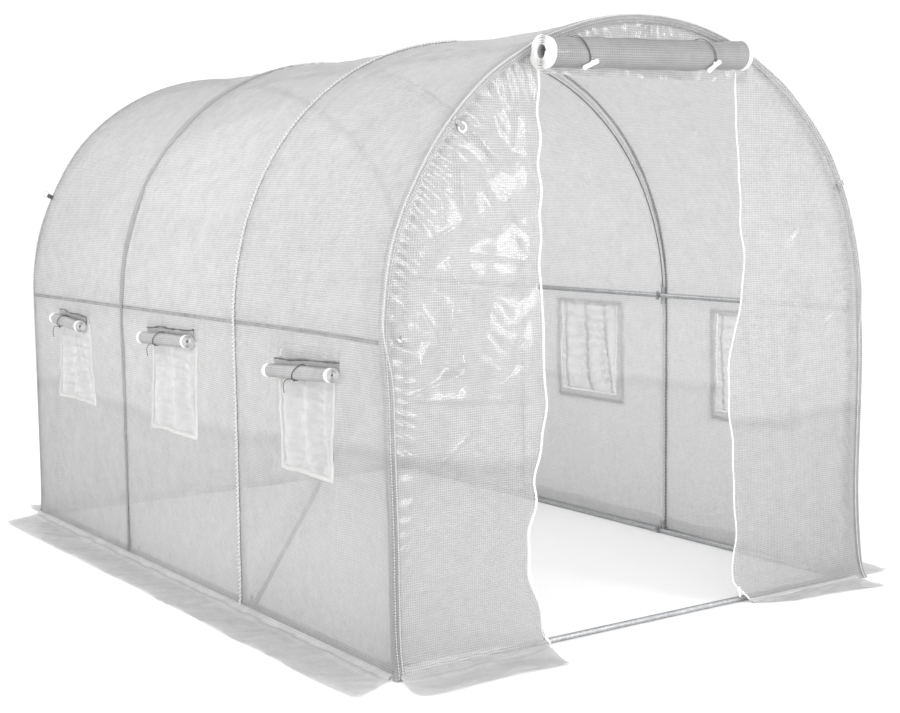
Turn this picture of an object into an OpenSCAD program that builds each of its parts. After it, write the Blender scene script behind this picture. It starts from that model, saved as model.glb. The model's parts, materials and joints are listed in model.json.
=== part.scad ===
// Polytunnel greenhouse: four round-topped steel hoops joined by ground rails,
// side purlins and a ridge tube, under a film cover with a roll-up door, six
// netted windows and a ground skirt. The front gable faces -Y, +X is to the
// right of someone who faces the door, and the origin is on the ground in the
// middle of the footprint.

/* [Tunnel] */
// Outside width of the cover between the side walls
tunnel_w = 2000; // [1600:10:2800]
// Outside length of the cover between the gables
tunnel_l = 3000; // [2400:10:4200]
// Height at which the straight legs meet the arch
wall_h = 990; // [800:5:1300]
// Thickness of the cover film as modelled
film_t = 3; // [2:0.5:6]
// Gap between a tube and what lies against it
fit_gap = 0.3; // [0.2:0.05:0.5]

/* [Frame] */
// Outside diameter of the hoop, rail and purlin tubes
tube_d = 19; // [16:0.5:25]
// Height of the side purlins above the ground
purlin_z = 1005; // [900:5:1300]
// Outside diameter of the diagonal brace
brace_d = 16; // [12:0.5:20]
// Distance from the second hoop to the foot of the brace
brace_foot_off = 52; // [25:1:150]
// Length of the sleeve at the foot of the brace
brace_sleeve_l = 120; // [60:5:250]
// Thickness of the clamp and gusset plates
plate_t = 3; // [2:0.5:5]
// Length of a clamp plate across its tube
clamp_l = 34; // [24:1:60]
// Length of the legs of a corner gusset
gusset_l = 90; // [60:5:150]

/* [Doorway] */
// Clear width of the doorway between the zips
door_w = 850; // [600:10:1100]
// Height of the doorway
door_h = 1800; // [1400:10:1850]
// Width of a zip tape
zip_w = 20; // [12:1:40]
// Diameter of the rolled-up door
door_roll_d = 98; // [70:1:130]
// Length of the rolled-up door
door_roll_l = 880; // [700:5:1200]
// How far the rolled-up door hangs to the left of the doorway's middle
door_roll_shift = 35; // [0:5:60]
// Height of the middle of the rolled-up door
door_roll_z = 1857; // [1500:1:1900]
// Diameter of the hollow along the middle of the rolled-up door
door_roll_core = 26; // [10:1:40]
// Width of a strap around the rolled-up door
strap_w = 16; // [8:1:30]
// Thickness of a strap
strap_t = 2; // [1:0.5:3]
// Distance of each strap from the middle of the pair
strap_off = 262; // [100:2:340]
// How far the pair of straps sits to the left of the roll's middle
strap_shift = 30; // [0:5:60]

/* [Windows] */
// Width of a window opening
window_w = 380; // [250:5:600]
// Height of the lower edge of the windows
window_z = 550; // [300:5:700]
// Height of a window opening
window_h = 400; // [250:5:450]
// How far a closed flap reaches past its window on each side
flap_lap = 40; // [20:1:80]
// Diameter of a rolled window flap
flap_roll_d = 48; // [30:1:60]
// Diameter of the hollow along a rolled window flap
flap_roll_core = 18; // [8:1:24]
// How far the roll hangs below the top edge of its window
flap_drop = 55; // [35:1:90]
// Length of a rolled window flap
flap_roll_l = 420; // [250:5:560]
// How far a rolled flap is drawn towards the doorway
flap_roll_shift = 10; // [0:1:40]
// Width of the cord that ties a rolled flap
tie_w = 6; // [4:1:12]

/* [Skirt] */
// Width of the skirt that lies on the ground
skirt_w = 200; // [120:5:300]
// How far the outer edge of the left skirt is drawn towards the front
skirt_drift_left = 100; // [0:5:150]
// How far the outer edge of the right skirt is drawn towards the front
skirt_drift_right = 15; // [0:5:150]
// How far the skirt of the front left panel is drawn outwards
skirt_drift_front = 50; // [0:5:100]
// Radius of the rounded corner of that skirt
skirt_round = 60; // [20:5:90]
// Outward run of the slanting end of the front right skirt
skirt_slant = 140; // [60:5:220]

/* [Guy rings] */
// Outside diameter of a guy ring
ring_d = 34; // [26:1:50]
// Hole diameter of a guy ring
ring_hole_d = 20; // [12:1:36]
// Thickness of a guy ring
ring_t = 4; // [3:0.5:6]
// Angle of three of the rings above the spring of the arch
ring_angle = 26.5; // [15:0.5:60]
// Angle of the ring on the front left panel
ring_angle_front_left = 41; // [30:0.5:60]
// Length of the web that holds the front right ring off the cover
ring_web_front = 46; // [6:1:60]
// Length of the webs that hold the rear rings off the cover
ring_web_rear = 22; // [6:1:60]
// Distance of the front left ring inside the edge of its panel
ring_inset = 4; // [2:1:80]

/* [Hidden] */
$fn = 96;

half_w = tunnel_w / 2;
half_l = tunnel_l / 2;
tube_r = tube_d / 2;
film_in = half_w - film_t;
// Centre line of the hoops, measured from the middle of the tunnel
hoop_r = film_in - fit_gap - tube_r;
hoop_y_end = half_l - film_t - fit_gap - tube_r;
bays = 3;
bay_l = 2 * hoop_y_end / bays;
function hoop_y(i) = i * bay_l - hoop_y_end;
function bay_y(i) = (hoop_y(i) + hoop_y(i + 1)) / 2;

// Rails, purlins and the ridge lie against the inner side of the hoops
lie_in = tube_d + fit_gap;
side_x = hoop_r - lie_in;
ridge_z = wall_h + hoop_r - lie_in;
clamp_in = tube_r + fit_gap;
clamp_w = tube_d - 1;
gable_r = film_in - fit_gap;
panel_x = door_w / 2 + zip_w;

// The brace runs from the top of the left rail to the underside of the left purlin
brace_x = hoop_r - tube_r - fit_gap - brace_d / 2;
brace_sleeve_d = brace_d + 3;
brace_foot = [hoop_y(1) - brace_foot_off, tube_d + fit_gap];
brace_head = [hoop_y(0) + tube_r, purlin_z - tube_r - fit_gap];
brace_run = brace_head - brace_foot;
brace_l = norm(brace_run);

flap_roll_z = window_z + window_h - flap_drop;
flap_top_z = window_z + window_h + 15;
flap_l = window_w + 2 * flap_lap;
skirt_end_x = half_w + skirt_w;
steel = "silver";
film = "gainsboro";
trim = "white";

// Steel frame ---------------------------------------------------------------

// Half ring of tube over the two legs of hoop i
module hoop_arch(i) {
    color(steel) translate([0, hoop_y(i), wall_h]) rotate([90, 0, 0])
        rotate_extrude(angle = 180) translate([hoop_r, 0]) circle(d = tube_d);
}

module hoop_legs(i) {
    color(steel) for (side = [-1, 1])
        translate([side * hoop_r, hoop_y(i), 0]) cylinder(d = tube_d, h = wall_h);
}

// Tube along Y, centred on the tunnel
module long_tube(x, z, l) {
    color(steel) translate([x, 0, z]) rotate([90, 0, 0])
        cylinder(d = tube_d, h = l, center = true);
}

module hoop_front_arch() { hoop_arch(0); }
module hoop_front_legs() { hoop_legs(0); }
module hoop_second_arch() { hoop_arch(1); }
module hoop_second_legs() { hoop_legs(1); }
module hoop_third_arch() { hoop_arch(2); }
module hoop_third_legs() { hoop_legs(2); }
module hoop_rear_arch() { hoop_arch(bays); }
module hoop_rear_legs() { hoop_legs(bays); }

// The ground rails butt against the two ground bars
module ground_rail(side) {
    long_tube(side * side_x, tube_r, 2 * (hoop_y_end - tube_r - fit_gap));
}
module ground_rail_left() { ground_rail(-1); }
module ground_rail_right() { ground_rail(1); }

// Bar between the feet of an end hoop
module ground_bar(end) {
    color(steel) translate([0, end * hoop_y_end, tube_r]) rotate([0, 90, 0])
        cylinder(d = tube_d, h = 2 * (hoop_r - tube_r - fit_gap), center = true);
}
module ground_bar_front() { ground_bar(-1); }
module ground_bar_rear() { ground_bar(1); }

module purlin(side) { long_tube(side * side_x, purlin_z, 2 * (hoop_y_end + tube_r)); }
module purlin_left() { purlin(-1); }
module purlin_right() { purlin(1); }
module ridge_tube() { long_tube(0, ridge_z, 2 * (hoop_y_end + tube_r)); }

// Diagonal from the foot of the second hoop to the head of the front left leg
module brace_left() {
    over = 2 * brace_sleeve_d;
    color(steel) intersection() {
        translate([-brace_x, brace_foot[0], brace_foot[1]])
            rotate([acos(brace_run[1] / brace_l), 0, 0]) translate([0, 0, -over]) {
                cylinder(d = brace_d, h = brace_l + 2 * over);
                cylinder(d = brace_sleeve_d, h = brace_sleeve_l + over);
            }
        translate([-half_w, -half_l, brace_foot[1]]) cube([half_w, tunnel_l, brace_run[1]]);
    }
}

// Flat plate over each corner, on top of a ground bar and a ground rail
module corner_gussets() {
    color(steel) for (end = [-1, 1], side = [-1, 1])
        translate([side * hoop_r, end * hoop_y_end, tube_d + fit_gap])
            mirror([side > 0 ? 1 : 0, 0, 0]) mirror([0, end > 0 ? 1 : 0, 0])
                linear_extrude(plate_t) polygon([
                    [tube_r + 3, -tube_r + 2], [gusset_l, -tube_r + 2],
                    [gusset_l, tube_r], [lie_in + tube_r, gusset_l],
                    [tube_r + 1, gusset_l], [tube_r + 1, tube_r + 3]
                ]);
}

// Plate on the inner side of each rail where a middle hoop stands beside it
module rail_clamps() {
    color(steel) for (i = [1:bays - 1], side = [-1, 1])
        translate([side * (side_x - clamp_in - plate_t / 2), hoop_y(i), clamp_l / 2])
            cube([plate_t, clamp_w, clamp_l], center = true);
}

module purlin_clamps() {
    color(steel) for (i = [0:bays], side = [-1, 1])
        translate([side * (side_x - clamp_in - plate_t / 2), hoop_y(i), purlin_z])
            cube([plate_t, clamp_w, clamp_l], center = true);
}

module ridge_clamps() {
    color(steel) for (i = [0:bays])
        translate([0, hoop_y(i), ridge_z - clamp_in - plate_t / 2])
            cube([clamp_l, clamp_w, plate_t], center = true);
}

// Film cover ----------------------------------------------------------------

module cover_roof() {
    color(film) translate([0, 0, wall_h]) rotate([90, 0, 0])
        linear_extrude(tunnel_l, center = true) intersection() {
            difference() {
                circle(r = half_w, $fn = 180);
                circle(r = film_in, $fn = 180);
            }
            translate([-half_w, 0]) square([tunnel_w, half_w]);
        }
}

// Side wall with one window to each bay
module cover_wall(side) {
    color(film) difference() {
        translate([side * (half_w - film_t / 2), 0, wall_h / 2])
            cube([film_t, tunnel_l, wall_h], center = true);
        for (i = [0:bays - 1])
            translate([side * half_w, bay_y(i), window_z + window_h / 2])
                cube([4 * film_t, window_w, window_h], center = true);
    }
}
module cover_wall_left() { cover_wall(-1); }
module cover_wall_right() { cover_wall(1); }

// Whole gable outline in the X-Z plane, a little inside the walls and the roof
module gable_outline() {
    translate([-gable_r, 0]) square([2 * gable_r, wall_h]);
    intersection() {
        translate([0, wall_h]) circle(r = gable_r, $fn = 180);
        translate([-half_w, wall_h]) square([tunnel_w, half_w]);
    }
}

// Stands a drawing of the X-Z plane up as a film whose front face is at y
module stand_up(y) {
    translate([0, y + film_t, 0]) rotate([90, 0, 0]) linear_extrude(film_t) children();
}

module gable_front_left() {
    color(film) stand_up(-half_l) intersection() {
        gable_outline();
        translate([-half_w, 0]) square([half_w - panel_x, 2 * half_w + wall_h]);
    }
}

module gable_front_right() {
    color(film) stand_up(-half_l) intersection() {
        gable_outline();
        translate([panel_x, 0]) square([half_w - panel_x, 2 * half_w + wall_h]);
    }
}

module gable_front_top() {
    color(film) stand_up(-half_l) intersection() {
        gable_outline();
        translate([-panel_x, door_h]) square([2 * panel_x, wall_h + half_w - door_h]);
    }
}

module gable_rear() {
    color(film) stand_up(half_l - film_t) gable_outline();
}

// Skirt ---------------------------------------------------------------------

// The loose outer edge of a side skirt is drawn a little towards the front
module skirt_side(side, drift) {
    color(film) linear_extrude(film_t) polygon([
        [side * half_w, -half_l], [side * skirt_end_x, -half_l - drift],
        [side * skirt_end_x, half_l - drift], [side * half_w, half_l]
    ]);
}
module skirt_left() { skirt_side(-1, skirt_drift_left); }
module skirt_right() { skirt_side(1, skirt_drift_right); }

// Strip in front of the left panel, with one rounded outer corner
module skirt_front_left() {
    outer_x = -half_w - skirt_drift_front;
    outer_y = -half_l - skirt_w;
    color(film) linear_extrude(film_t) union() {
        difference() {
            polygon([
                [-half_w, -half_l], [outer_x, outer_y + skirt_round],
                [outer_x, outer_y], [-panel_x - skirt_drift_front, outer_y],
                [-panel_x, -half_l]
            ]);
            translate([outer_x, outer_y]) square(skirt_round);
        }
        intersection() {
            translate([outer_x + skirt_round, outer_y + skirt_round]) circle(r = skirt_round);
            translate([outer_x, outer_y]) square(skirt_round);
        }
    }
}

// Strip in front of the right panel, which tapers towards the doorway
module skirt_front_right() {
    color(film) linear_extrude(film_t) polygon([
        [panel_x, -half_l], [half_w, -half_l], [half_w + 15, -half_l - skirt_w * 0.8],
        [panel_x + skirt_slant, -half_l - skirt_w / 2]
    ]);
}

module skirt_rear() {
    color(film) translate([-half_w, half_l, 0]) cube([tunnel_w, skirt_w, film_t]);
}

// Windows -------------------------------------------------------------------

module window_nets(side) {
    color(trim) for (i = [0:bays - 1])
        translate([side * (half_w - film_t / 2), bay_y(i), window_z + window_h / 2])
            cube([film_t, window_w, window_h], center = true);
}
module window_nets_left() { window_nets(-1); }
module window_nets_right() { window_nets(1); }

// Rolled flap that hangs from a strip of film above each left window
module window_flaps_left() {
    roll_x = half_w + fit_gap + flap_roll_d / 2;
    color(film) for (i = [0:bays - 1]) translate([0, bay_y(i) - flap_roll_shift, 0]) difference() {
        union() {
            translate([-roll_x, 0, flap_roll_z]) rotate([90, 0, 0])
                cylinder(d = flap_roll_d, h = flap_roll_l, center = true);
            translate([-half_w - film_t, -flap_roll_l / 2, flap_roll_z])
                cube([film_t, flap_roll_l, flap_top_z - flap_roll_z]);
        }
        translate([-roll_x, 0, flap_roll_z]) rotate([90, 0, 0])
            cylinder(d = flap_roll_core, h = flap_roll_l + 2, center = true);
    }
}

// Closed flap over each right window
module window_flaps_right() {
    color(film) for (i = [0:bays - 1])
        translate([half_w, bay_y(i) - flap_l / 2, window_z - flap_lap])
            cube([film_t, flap_l, flap_top_z - window_z + flap_lap]);
}

// Cord around each rolled flap, open towards the wall
module window_ties_left() {
    roll_x = half_w + fit_gap + flap_roll_d / 2;
    inner_r = flap_roll_d / 2 + fit_gap;
    color("dimgray") for (i = [0:bays - 1]) intersection() {
        translate([-roll_x, bay_y(i) - flap_roll_shift, flap_roll_z]) rotate([90, 0, 0]) difference() {
            cylinder(r = inner_r + strap_t, h = tie_w, center = true);
            cylinder(r = inner_r, h = tie_w + 2, center = true);
        }
        translate([-half_w - film_t - fit_gap - 2 * flap_roll_d, -half_l, 0])
            cube([2 * flap_roll_d, tunnel_l, wall_h]);
    }
}

// Door ----------------------------------------------------------------------

door_roll_y = -half_l - fit_gap - door_roll_d / 2;
door_strip_w = door_w - 2 * zip_w;

// Rolled door that hangs from a strip of film on the front of the gable
module door_roll() {
    color(film) difference() {
        union() {
            translate([-door_roll_shift, door_roll_y, door_roll_z]) rotate([0, 90, 0])
                cylinder(d = door_roll_d, h = door_roll_l, center = true);
            translate([-door_strip_w / 2, -half_l - film_t, door_roll_z])
                cube([door_strip_w, film_t, door_roll_d / 3]);
        }
        translate([-door_roll_shift, door_roll_y, door_roll_z]) rotate([0, 90, 0])
            cylinder(d = door_roll_core, h = door_roll_l + 2, center = true);
    }
}

// Strap around the roll at each end, open towards the gable
module door_straps() {
    inner_r = door_roll_d / 2 + fit_gap;
    color(trim) for (side = [-1, 1]) intersection() {
        translate([side * strap_off - door_roll_shift - strap_shift, door_roll_y, door_roll_z])
            rotate([0, 90, 0]) difference() {
                cylinder(r = inner_r + strap_t, h = strap_w, center = true);
                cylinder(r = inner_r, h = strap_w + 2, center = true);
            }
        translate([-half_w, -half_l - film_t - fit_gap - 2 * door_roll_d, 0])
            cube([tunnel_w, 2 * door_roll_d, 2 * wall_h]);
    }
}

// Zip tape along one side of the doorway
module door_zip(side) {
    color(trim) translate([side * (panel_x - zip_w / 2), film_t / 2 - half_l, door_h / 2])
        cube([zip_w, film_t, door_h], center = true);
}
module door_zip_left() { door_zip(-1); }
module door_zip_right() { door_zip(1); }

// Guy rings -----------------------------------------------------------------

// Ring and web whose web stands on the cover at the given angle of the arch
module guy_ring_outside(side, y, web_l) {
    ring_c = half_w + fit_gap + web_l + ring_d / 2;
    translate([0, y, wall_h]) mirror([side < 0 ? 1 : 0, 0, 0]) rotate([0, -ring_angle, 0])
        difference() {
            union() {
                translate([ring_c, 0, 0]) rotate([90, 0, 0])
                    cylinder(d = ring_d, h = ring_t, center = true);
                translate([half_w + fit_gap, -ring_t / 2, -ring_d / 4])
                    cube([web_l + ring_d / 4, ring_t, ring_d / 2]);
            }
            translate([ring_c, 0, 0]) rotate([90, 0, 0])
                cylinder(d = ring_hole_d, h = ring_t + 2, center = true);
        }
}

// Ring that lies on the front left panel
module guy_ring_front_left() {
    ring_c = gable_r - ring_inset - ring_d / 2;
    translate([0, -half_l - ring_t / 2, wall_h]) rotate([0, ring_angle_front_left, 0])
        translate([-ring_c, 0, 0]) difference() {
            union() {
                rotate([90, 0, 0]) cylinder(d = ring_d, h = ring_t, center = true);
                translate([-ring_inset - ring_d / 2, -ring_t / 2, -ring_d / 4])
                    cube([ring_inset + ring_d / 4, ring_t, ring_d / 2]);
            }
            rotate([90, 0, 0]) cylinder(d = ring_hole_d, h = ring_t + 2, center = true);
        }
}

module guy_rings() {
    color(trim) {
        guy_ring_front_left();
        guy_ring_outside(1, -hoop_y_end, ring_web_front);
        guy_ring_outside(-1, hoop_y_end, ring_web_rear);
        guy_ring_outside(1, hoop_y_end, ring_web_rear);
    }
}

hoop_front_arch();
hoop_front_legs();
hoop_second_arch();
hoop_second_legs();
hoop_third_arch();
hoop_third_legs();
hoop_rear_arch();
hoop_rear_legs();
ground_rail_left();
ground_rail_right();
ground_bar_front();
ground_bar_rear();
purlin_left();
purlin_right();
ridge_tube();
brace_left();
corner_gussets();
rail_clamps();
purlin_clamps();
ridge_clamps();
cover_roof();
cover_wall_left();
cover_wall_right();
gable_front_left();
gable_front_right();
gable_front_top();
gable_rear();
skirt_left();
skirt_right();
skirt_front_left();
skirt_front_right();
skirt_rear();
window_nets_left();
window_nets_right();
window_flaps_left();
window_flaps_right();
window_ties_left();
door_roll();
door_straps();
door_zip_left();
door_zip_right();
guy_rings();
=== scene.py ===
"""Polytunnel greenhouse: film cover, trims, windows, rolled door and finishes, built round its tube frame.

The x axis runs across the tunnel, y along it with the doorway at the low end, z up. All sizes are in metres.
"""

import json

import bpy
import bmesh
import numpy as np
from mathutils import Matrix, Vector


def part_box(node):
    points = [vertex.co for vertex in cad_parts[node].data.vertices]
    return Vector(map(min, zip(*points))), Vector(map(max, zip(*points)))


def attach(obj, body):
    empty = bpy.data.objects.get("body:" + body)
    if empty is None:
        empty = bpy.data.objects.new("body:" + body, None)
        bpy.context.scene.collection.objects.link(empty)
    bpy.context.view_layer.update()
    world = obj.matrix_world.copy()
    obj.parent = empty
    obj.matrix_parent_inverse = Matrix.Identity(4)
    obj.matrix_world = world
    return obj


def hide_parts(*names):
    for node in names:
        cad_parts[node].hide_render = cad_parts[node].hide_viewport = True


bl_info = {
    "name": "Polytunnel greenhouse",
    "version": (1, 0, 0),
    "blender": (4, 5, 0),
    "location": "3D View > Sidebar > Tunnel",
    "description": "Builds the film cover, trims and finishes of a small polytunnel round its tube frame",
    "category": "Object",
}

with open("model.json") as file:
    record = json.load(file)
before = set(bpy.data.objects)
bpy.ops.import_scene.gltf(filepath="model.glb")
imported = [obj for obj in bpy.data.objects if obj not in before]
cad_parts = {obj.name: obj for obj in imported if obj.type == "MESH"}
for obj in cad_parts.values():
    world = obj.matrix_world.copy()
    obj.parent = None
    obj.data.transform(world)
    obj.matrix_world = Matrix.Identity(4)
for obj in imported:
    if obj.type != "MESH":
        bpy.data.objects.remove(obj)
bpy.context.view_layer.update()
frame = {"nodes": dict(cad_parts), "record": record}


# ---------------------------------------------------------------- places taken from the frame


def low(node):
    """Lowest corner of a frame node as an array."""
    return np.array(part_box(node)[0])


def high(node):
    """Highest corner of a frame node as an array."""
    return np.array(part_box(node)[1])


def middle(node):
    """Centre of a frame node's box as an array."""
    return (low(node) + high(node)) / 2


X, Y, Z = np.eye(3)
HALF_W = high("cover_wall_right")[0]
HALF_L = high("cover_wall_right")[1]
WALL_H = low("cover_roof")[2]
PATH = 2 * WALL_H + np.pi * HALF_W  # length of the cover's cross-section, ground to ground
TUBE_R = (high("ground_rail_left")[2] - low("ground_rail_left")[2]) / 2
HOOP_Y = [middle(f"hoop_{name}_legs")[1] for name in ("front", "second", "third", "rear")]
BAYS = [(a + b) / 2 for a, b in zip(HOOP_Y, HOOP_Y[1:])]
PURLIN_Z = middle("purlin_left")[2]
DOOR_HALF = -high("gable_front_left")[0]
DOOR_H = low("gable_front_top")[2]
NET_LOW, NET_HIGH = low("window_nets_left"), high("window_nets_left")
NET_HALF = NET_HIGH[1] - BAYS[-1]

# How the cloth round each left window has been pulled, front to rear: the rise of its bottom and of its top,
# then for bottom and top the width against the cut width and the middle's shift along the wall.
PULLED = (
    (-0.012, -0.008, 0.90, 0.007, 0.96, -0.014),
    (0.002, 0.004, 1.10, 0.028, 1.01, -0.006),
    (0.026, 0.0, 1.17, 0.014, 0.78, 0.016),
)
# How each rolled flap hangs, front to rear: the rise of its near and far end, its shift along the wall, its
# length against the cut length, and how far behind its middle the tie sits.
ROLL_HANG = (
    (-0.009, -0.030, 0.001, 1.0, 0.0),
    (0.020, 0.008, 0.040, 0.98, 0.045),
    (0.008, 0.026, 0.040, 0.72, 0.05),
)
FLAP_HALF = high("window_flaps_right")[1] - BAYS[-1]
FLAP_LOW, FLAP_HIGH = low("window_flaps_right")[2], high("window_flaps_right")[2]
ROLL_LOW, ROLL_HIGH = low("door_roll"), high("door_roll")
MOUNTS = frame["record"]["mounts"]
RINGS = {m["name"]: np.array(m["pos_m"]) for m in MOUNTS if m["name"].startswith("guy_ring")}
RING_OUT, RING_IN, RING_T = 0.017, 0.010, 0.004

RIM_INSET = 0.004  # how far inside the hem the cover and the end walls stop
PURLIN_GAP = 0.035  # half the gap that the hoop sleeves leave at a purlin
SLEEVE_R = TUBE_R + 0.0016  # outside of the film sleeve round a hoop
ROLLED_T, TAPE_T = 0.0009, 0.0017  # thickness of a layer of rolled film and of its edge tape
DOOR_ROLL_SHORT = 0.018  # how far the rolled door falls short of its cut length at each end

# How far the front sleeve stands outside the hoop's cover, by path length from the ground, on each side.
FRONT_OUT_S = (0.0, 0.36, 0.80, 1.08, 1.30, 1.55, 1.85, 2.05, 2.25, 2.57)
FRONT_OUT_LEFT = (0.004, 0.004, 0.013, 0.030, 0.037, 0.029, 0.025, 0.017, 0.010, 0.008)
FRONT_OUT_RIGHT = (0.056, 0.038, 0.047, 0.038, 0.034, 0.033, 0.020, 0.012, 0.009, 0.008)

# The loose door edge on each side: heights, and how far from the middle its zip stands there.
EDGE_LEFT_Z = (0.0, 0.06, 0.30, 0.50, 0.80, 1.20, DOOR_H)
EDGE_LEFT_X = (0.425, 0.445, 0.503, 0.474, 0.430, 0.446, 0.455)
EDGE_RIGHT_Z = (0.0, 0.09, 0.25, 0.45, 0.79, 1.15, 1.42, DOOR_H)
EDGE_RIGHT_X = (0.455, 0.385, 0.408, 0.395, 0.368, 0.436, 0.412, 0.385)


# ---------------------------------------------------------------- arrays and surfaces


def smooth(t):
    """The smooth step from 0 to 1: three t squared minus two t cubed, level outside."""
    t = np.clip(t, 0, 1)
    return t * t * (3 - 2 * t)


def unit(vectors):
    """Vectors divided by their length."""
    return vectors / np.maximum(np.linalg.norm(vectors, axis=-1, keepdims=True), 1e-9)


def eased(t, knots, values):
    """A line through a few knots in which each stretch is a smooth step, so it is level at every knot."""
    knots, values = np.asarray(knots), np.asarray(values)
    i = np.clip(np.searchsorted(knots, t, side="right") - 1, 0, len(knots) - 2)
    return values[i] + (values[i + 1] - values[i]) * smooth((t - knots[i]) / (knots[i + 1] - knots[i]))


def spaced(breaks, step):
    """Numbers from the first break to the last, hitting every break, at most step apart."""
    counts = [int(np.ceil((b - a) / step - 1e-6)) for a, b in zip(breaks, breaks[1:])]
    runs = [np.linspace(a, b, count + 1)[:-1] for a, b, count in zip(breaks, breaks[1:], counts)]
    return np.append(np.concatenate(runs), breaks[-1])


def waves(u, v, length, seed, count=7):
    """Gentle unevenness: a few sine waves of about the given length in seeded directions, of variance one."""
    rng = np.random.default_rng(seed)
    total = np.zeros(np.broadcast(u, v).shape)
    for angle, phase, stretch in rng.uniform((0, 0, 0.7), (np.pi, 2 * np.pi, 1.4), (count, 3)):
        way = (u * np.cos(angle) + v * np.sin(angle)) * 2 * np.pi / (length * stretch) + phase
        total = total + np.sin(way)
    return total / np.sqrt(count / 2)


def creased(u, v, length, seed):
    """Crumples with sharp ridges: one minus the size of waves whose own ground is bent by longer waves."""
    bend = 0.25 * length * waves(u, v, 2.3 * length, seed + 1)
    return 1 - np.abs(waves(u + bend, v - bend, length, seed))


def faceted(u, v, length, seed, count=5):
    """Crumpled film: the mean of a few triangle waves in seeded directions, so that it is made of flat facets
    that meet in sharp creases; longer waves bend the ground so that no crease is quite straight."""
    rng = np.random.default_rng(seed)
    bent_u = u + 0.10 * length * waves(u, v, 2.1 * length, seed + 2)
    bent_v = v + 0.10 * length * waves(v, u, 1.7 * length, seed + 4)
    total = np.zeros(np.broadcast(u, v).shape)
    for angle, phase, stretch in rng.uniform((0, 0, 0.7), (np.pi, 2 * np.pi, 1.5), (count, 3)):
        way = (bent_u * np.cos(angle) + bent_v * np.sin(angle)) * 2 * np.pi / (length * stretch) + phase
        total = total + np.arcsin(0.995 * np.sin(way)) * 2 / np.pi
    return total / np.sqrt(count)


def beside_line(u, v, line):
    """How strong a fold along a line (start u, v, end u, v) stands at a point: nought at both ends and one
    in the middle. Also gives the distance from the line, positive on its left."""
    start, end = np.array(line[:2]), np.array(line[2:])
    span = end - start
    along = ((u - start[0]) * span[0] + (v - start[1]) * span[1]) / (span @ span)
    off = ((v - start[1]) * span[0] - (u - start[0]) * span[1]) / np.linalg.norm(span)
    return np.sin(np.pi * np.clip(along, 0, 1)), off


def crease(u, v, line, width, height):
    """A sharp fold along a line: it falls off gently over the width on its left side and at a sixth of it on
    its right side, and fades to both ends."""
    strength, off = beside_line(u, v, line)
    return height * strength**0.5 * np.where(off > 0, np.exp(-off / width), np.exp(off * 6 / width))


def bulge(u, v, line, width, height):
    """A soft fold along a line: a bell across it of the given width, fading to both ends."""
    strength, off = beside_line(u, v, line)
    return height * strength**0.6 * np.exp(-((off / width) ** 2))


class Shape:
    """Points, faces grouped by corner count, and a flat (u, v) place for each face corner, as arrays."""

    def __init__(self, points, faces, flats):
        self.points, self.faces, self.flats = points, faces, flats


def joined(shapes):
    """Several shapes as one: points one after another, face numbers moved up to match."""
    points, faces, flats, first = [], [], [], 0
    for shape in shapes:
        points.append(shape.points)
        faces += [f + first for f in shape.faces]
        flats += shape.flats
        first += len(shape.points)
    return Shape(np.concatenate(points), faces, flats)


def grid(points, flats, facing=None, wrap=False, open_at=None):
    """Quads between neighbours on a rows by columns grid. facing is a direction, or one for each point, that
    the faces look along; wrap joins the last column to the first; open_at marks quads that are left out."""
    rows, cols = points.shape[:2]
    index = np.arange(rows * cols).reshape(rows, cols)
    if wrap:
        index = np.hstack([index, index[:, :1]])
    corners = (slice(None, -1), slice(1, None))
    order = ((0, 0), (0, 1), (1, 1), (1, 0))
    quads = np.stack([index[corners[r], corners[c]] for r, c in order], -1).reshape(-1, 4)
    places = np.stack([flats[corners[r], corners[c]] for r, c in order], -2).reshape(-1, 4, 2)
    if open_at is not None:
        quads, places = quads[~open_at.ravel()], places[~open_at.ravel()]
    flat_points = points.reshape(-1, 3)
    if facing is not None:
        p = flat_points[quads]
        normals = np.cross(p[:, 2] - p[:, 0], p[:, 3] - p[:, 1])
        wanted = np.broadcast_to(facing, points.shape).reshape(-1, 3)[quads[:, 0]]
        if np.sum(normals * wanted) < 0:
            quads, places = quads[:, ::-1], places[:, ::-1]
    return Shape(flat_points, [quads], [places])


def sweep(paths, outs, sides, profile, caps=True):
    """Carries a closed profile along one path or many: path point plus profile offsets times the out and side
    directions. The profile may change along the path. Flat caps close the ends."""
    paths, outs, sides = (a[None] if a.ndim == 2 else a for a in (paths, outs, sides))
    profile = np.broadcast_to(profile, paths.shape[:2] + profile.shape[-2:])
    points = paths[:, :, None] + profile[..., :1] * outs[:, :, None] + profile[..., 1:] * sides[:, :, None]
    count, rows, cols = points.shape[:3]
    run = np.cumsum(np.linalg.norm(np.diff(paths, axis=1, prepend=paths[:, :1]), axis=2), axis=1)
    ring = profile[:, :, np.append(np.arange(cols), 0)]
    girth = np.cumsum(np.linalg.norm(np.diff(ring, axis=2, prepend=ring[:, :, :1]), axis=3), axis=2)
    flats = np.stack([girth, np.broadcast_to(run[:, :, None], girth.shape)], -1)
    shapes = [grid(points[0], flats[0], wrap=True)]
    quads, places = shapes[0].faces[0], shapes[0].flats[0]
    quads = (quads[None] + (np.arange(count) * rows * cols)[:, None, None]).reshape(-1, 4)
    places = np.tile(places, (count, 1, 1))
    faces, spots = [quads], [places]
    if caps:
        ends = np.arange(count)[:, None] * rows * cols + np.arange(cols)
        ends = np.concatenate([ends, ends[:, ::-1] + (rows - 1) * cols])
        faces.append(ends)
        spots.append(np.tile(profile[0, 0] - profile[0, 0].min(0), (len(ends), 1, 1)))
    return Shape(points.reshape(-1, 3), faces, spots)


def across(path, up):
    """Directions for a sweep: side is the tangent crossed with up, out the side crossed with the tangent."""
    tangent = unit(np.gradient(path, axis=-2))
    side = unit(np.cross(tangent, np.broadcast_to(up, path.shape)))
    return np.cross(side, tangent), side


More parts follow.
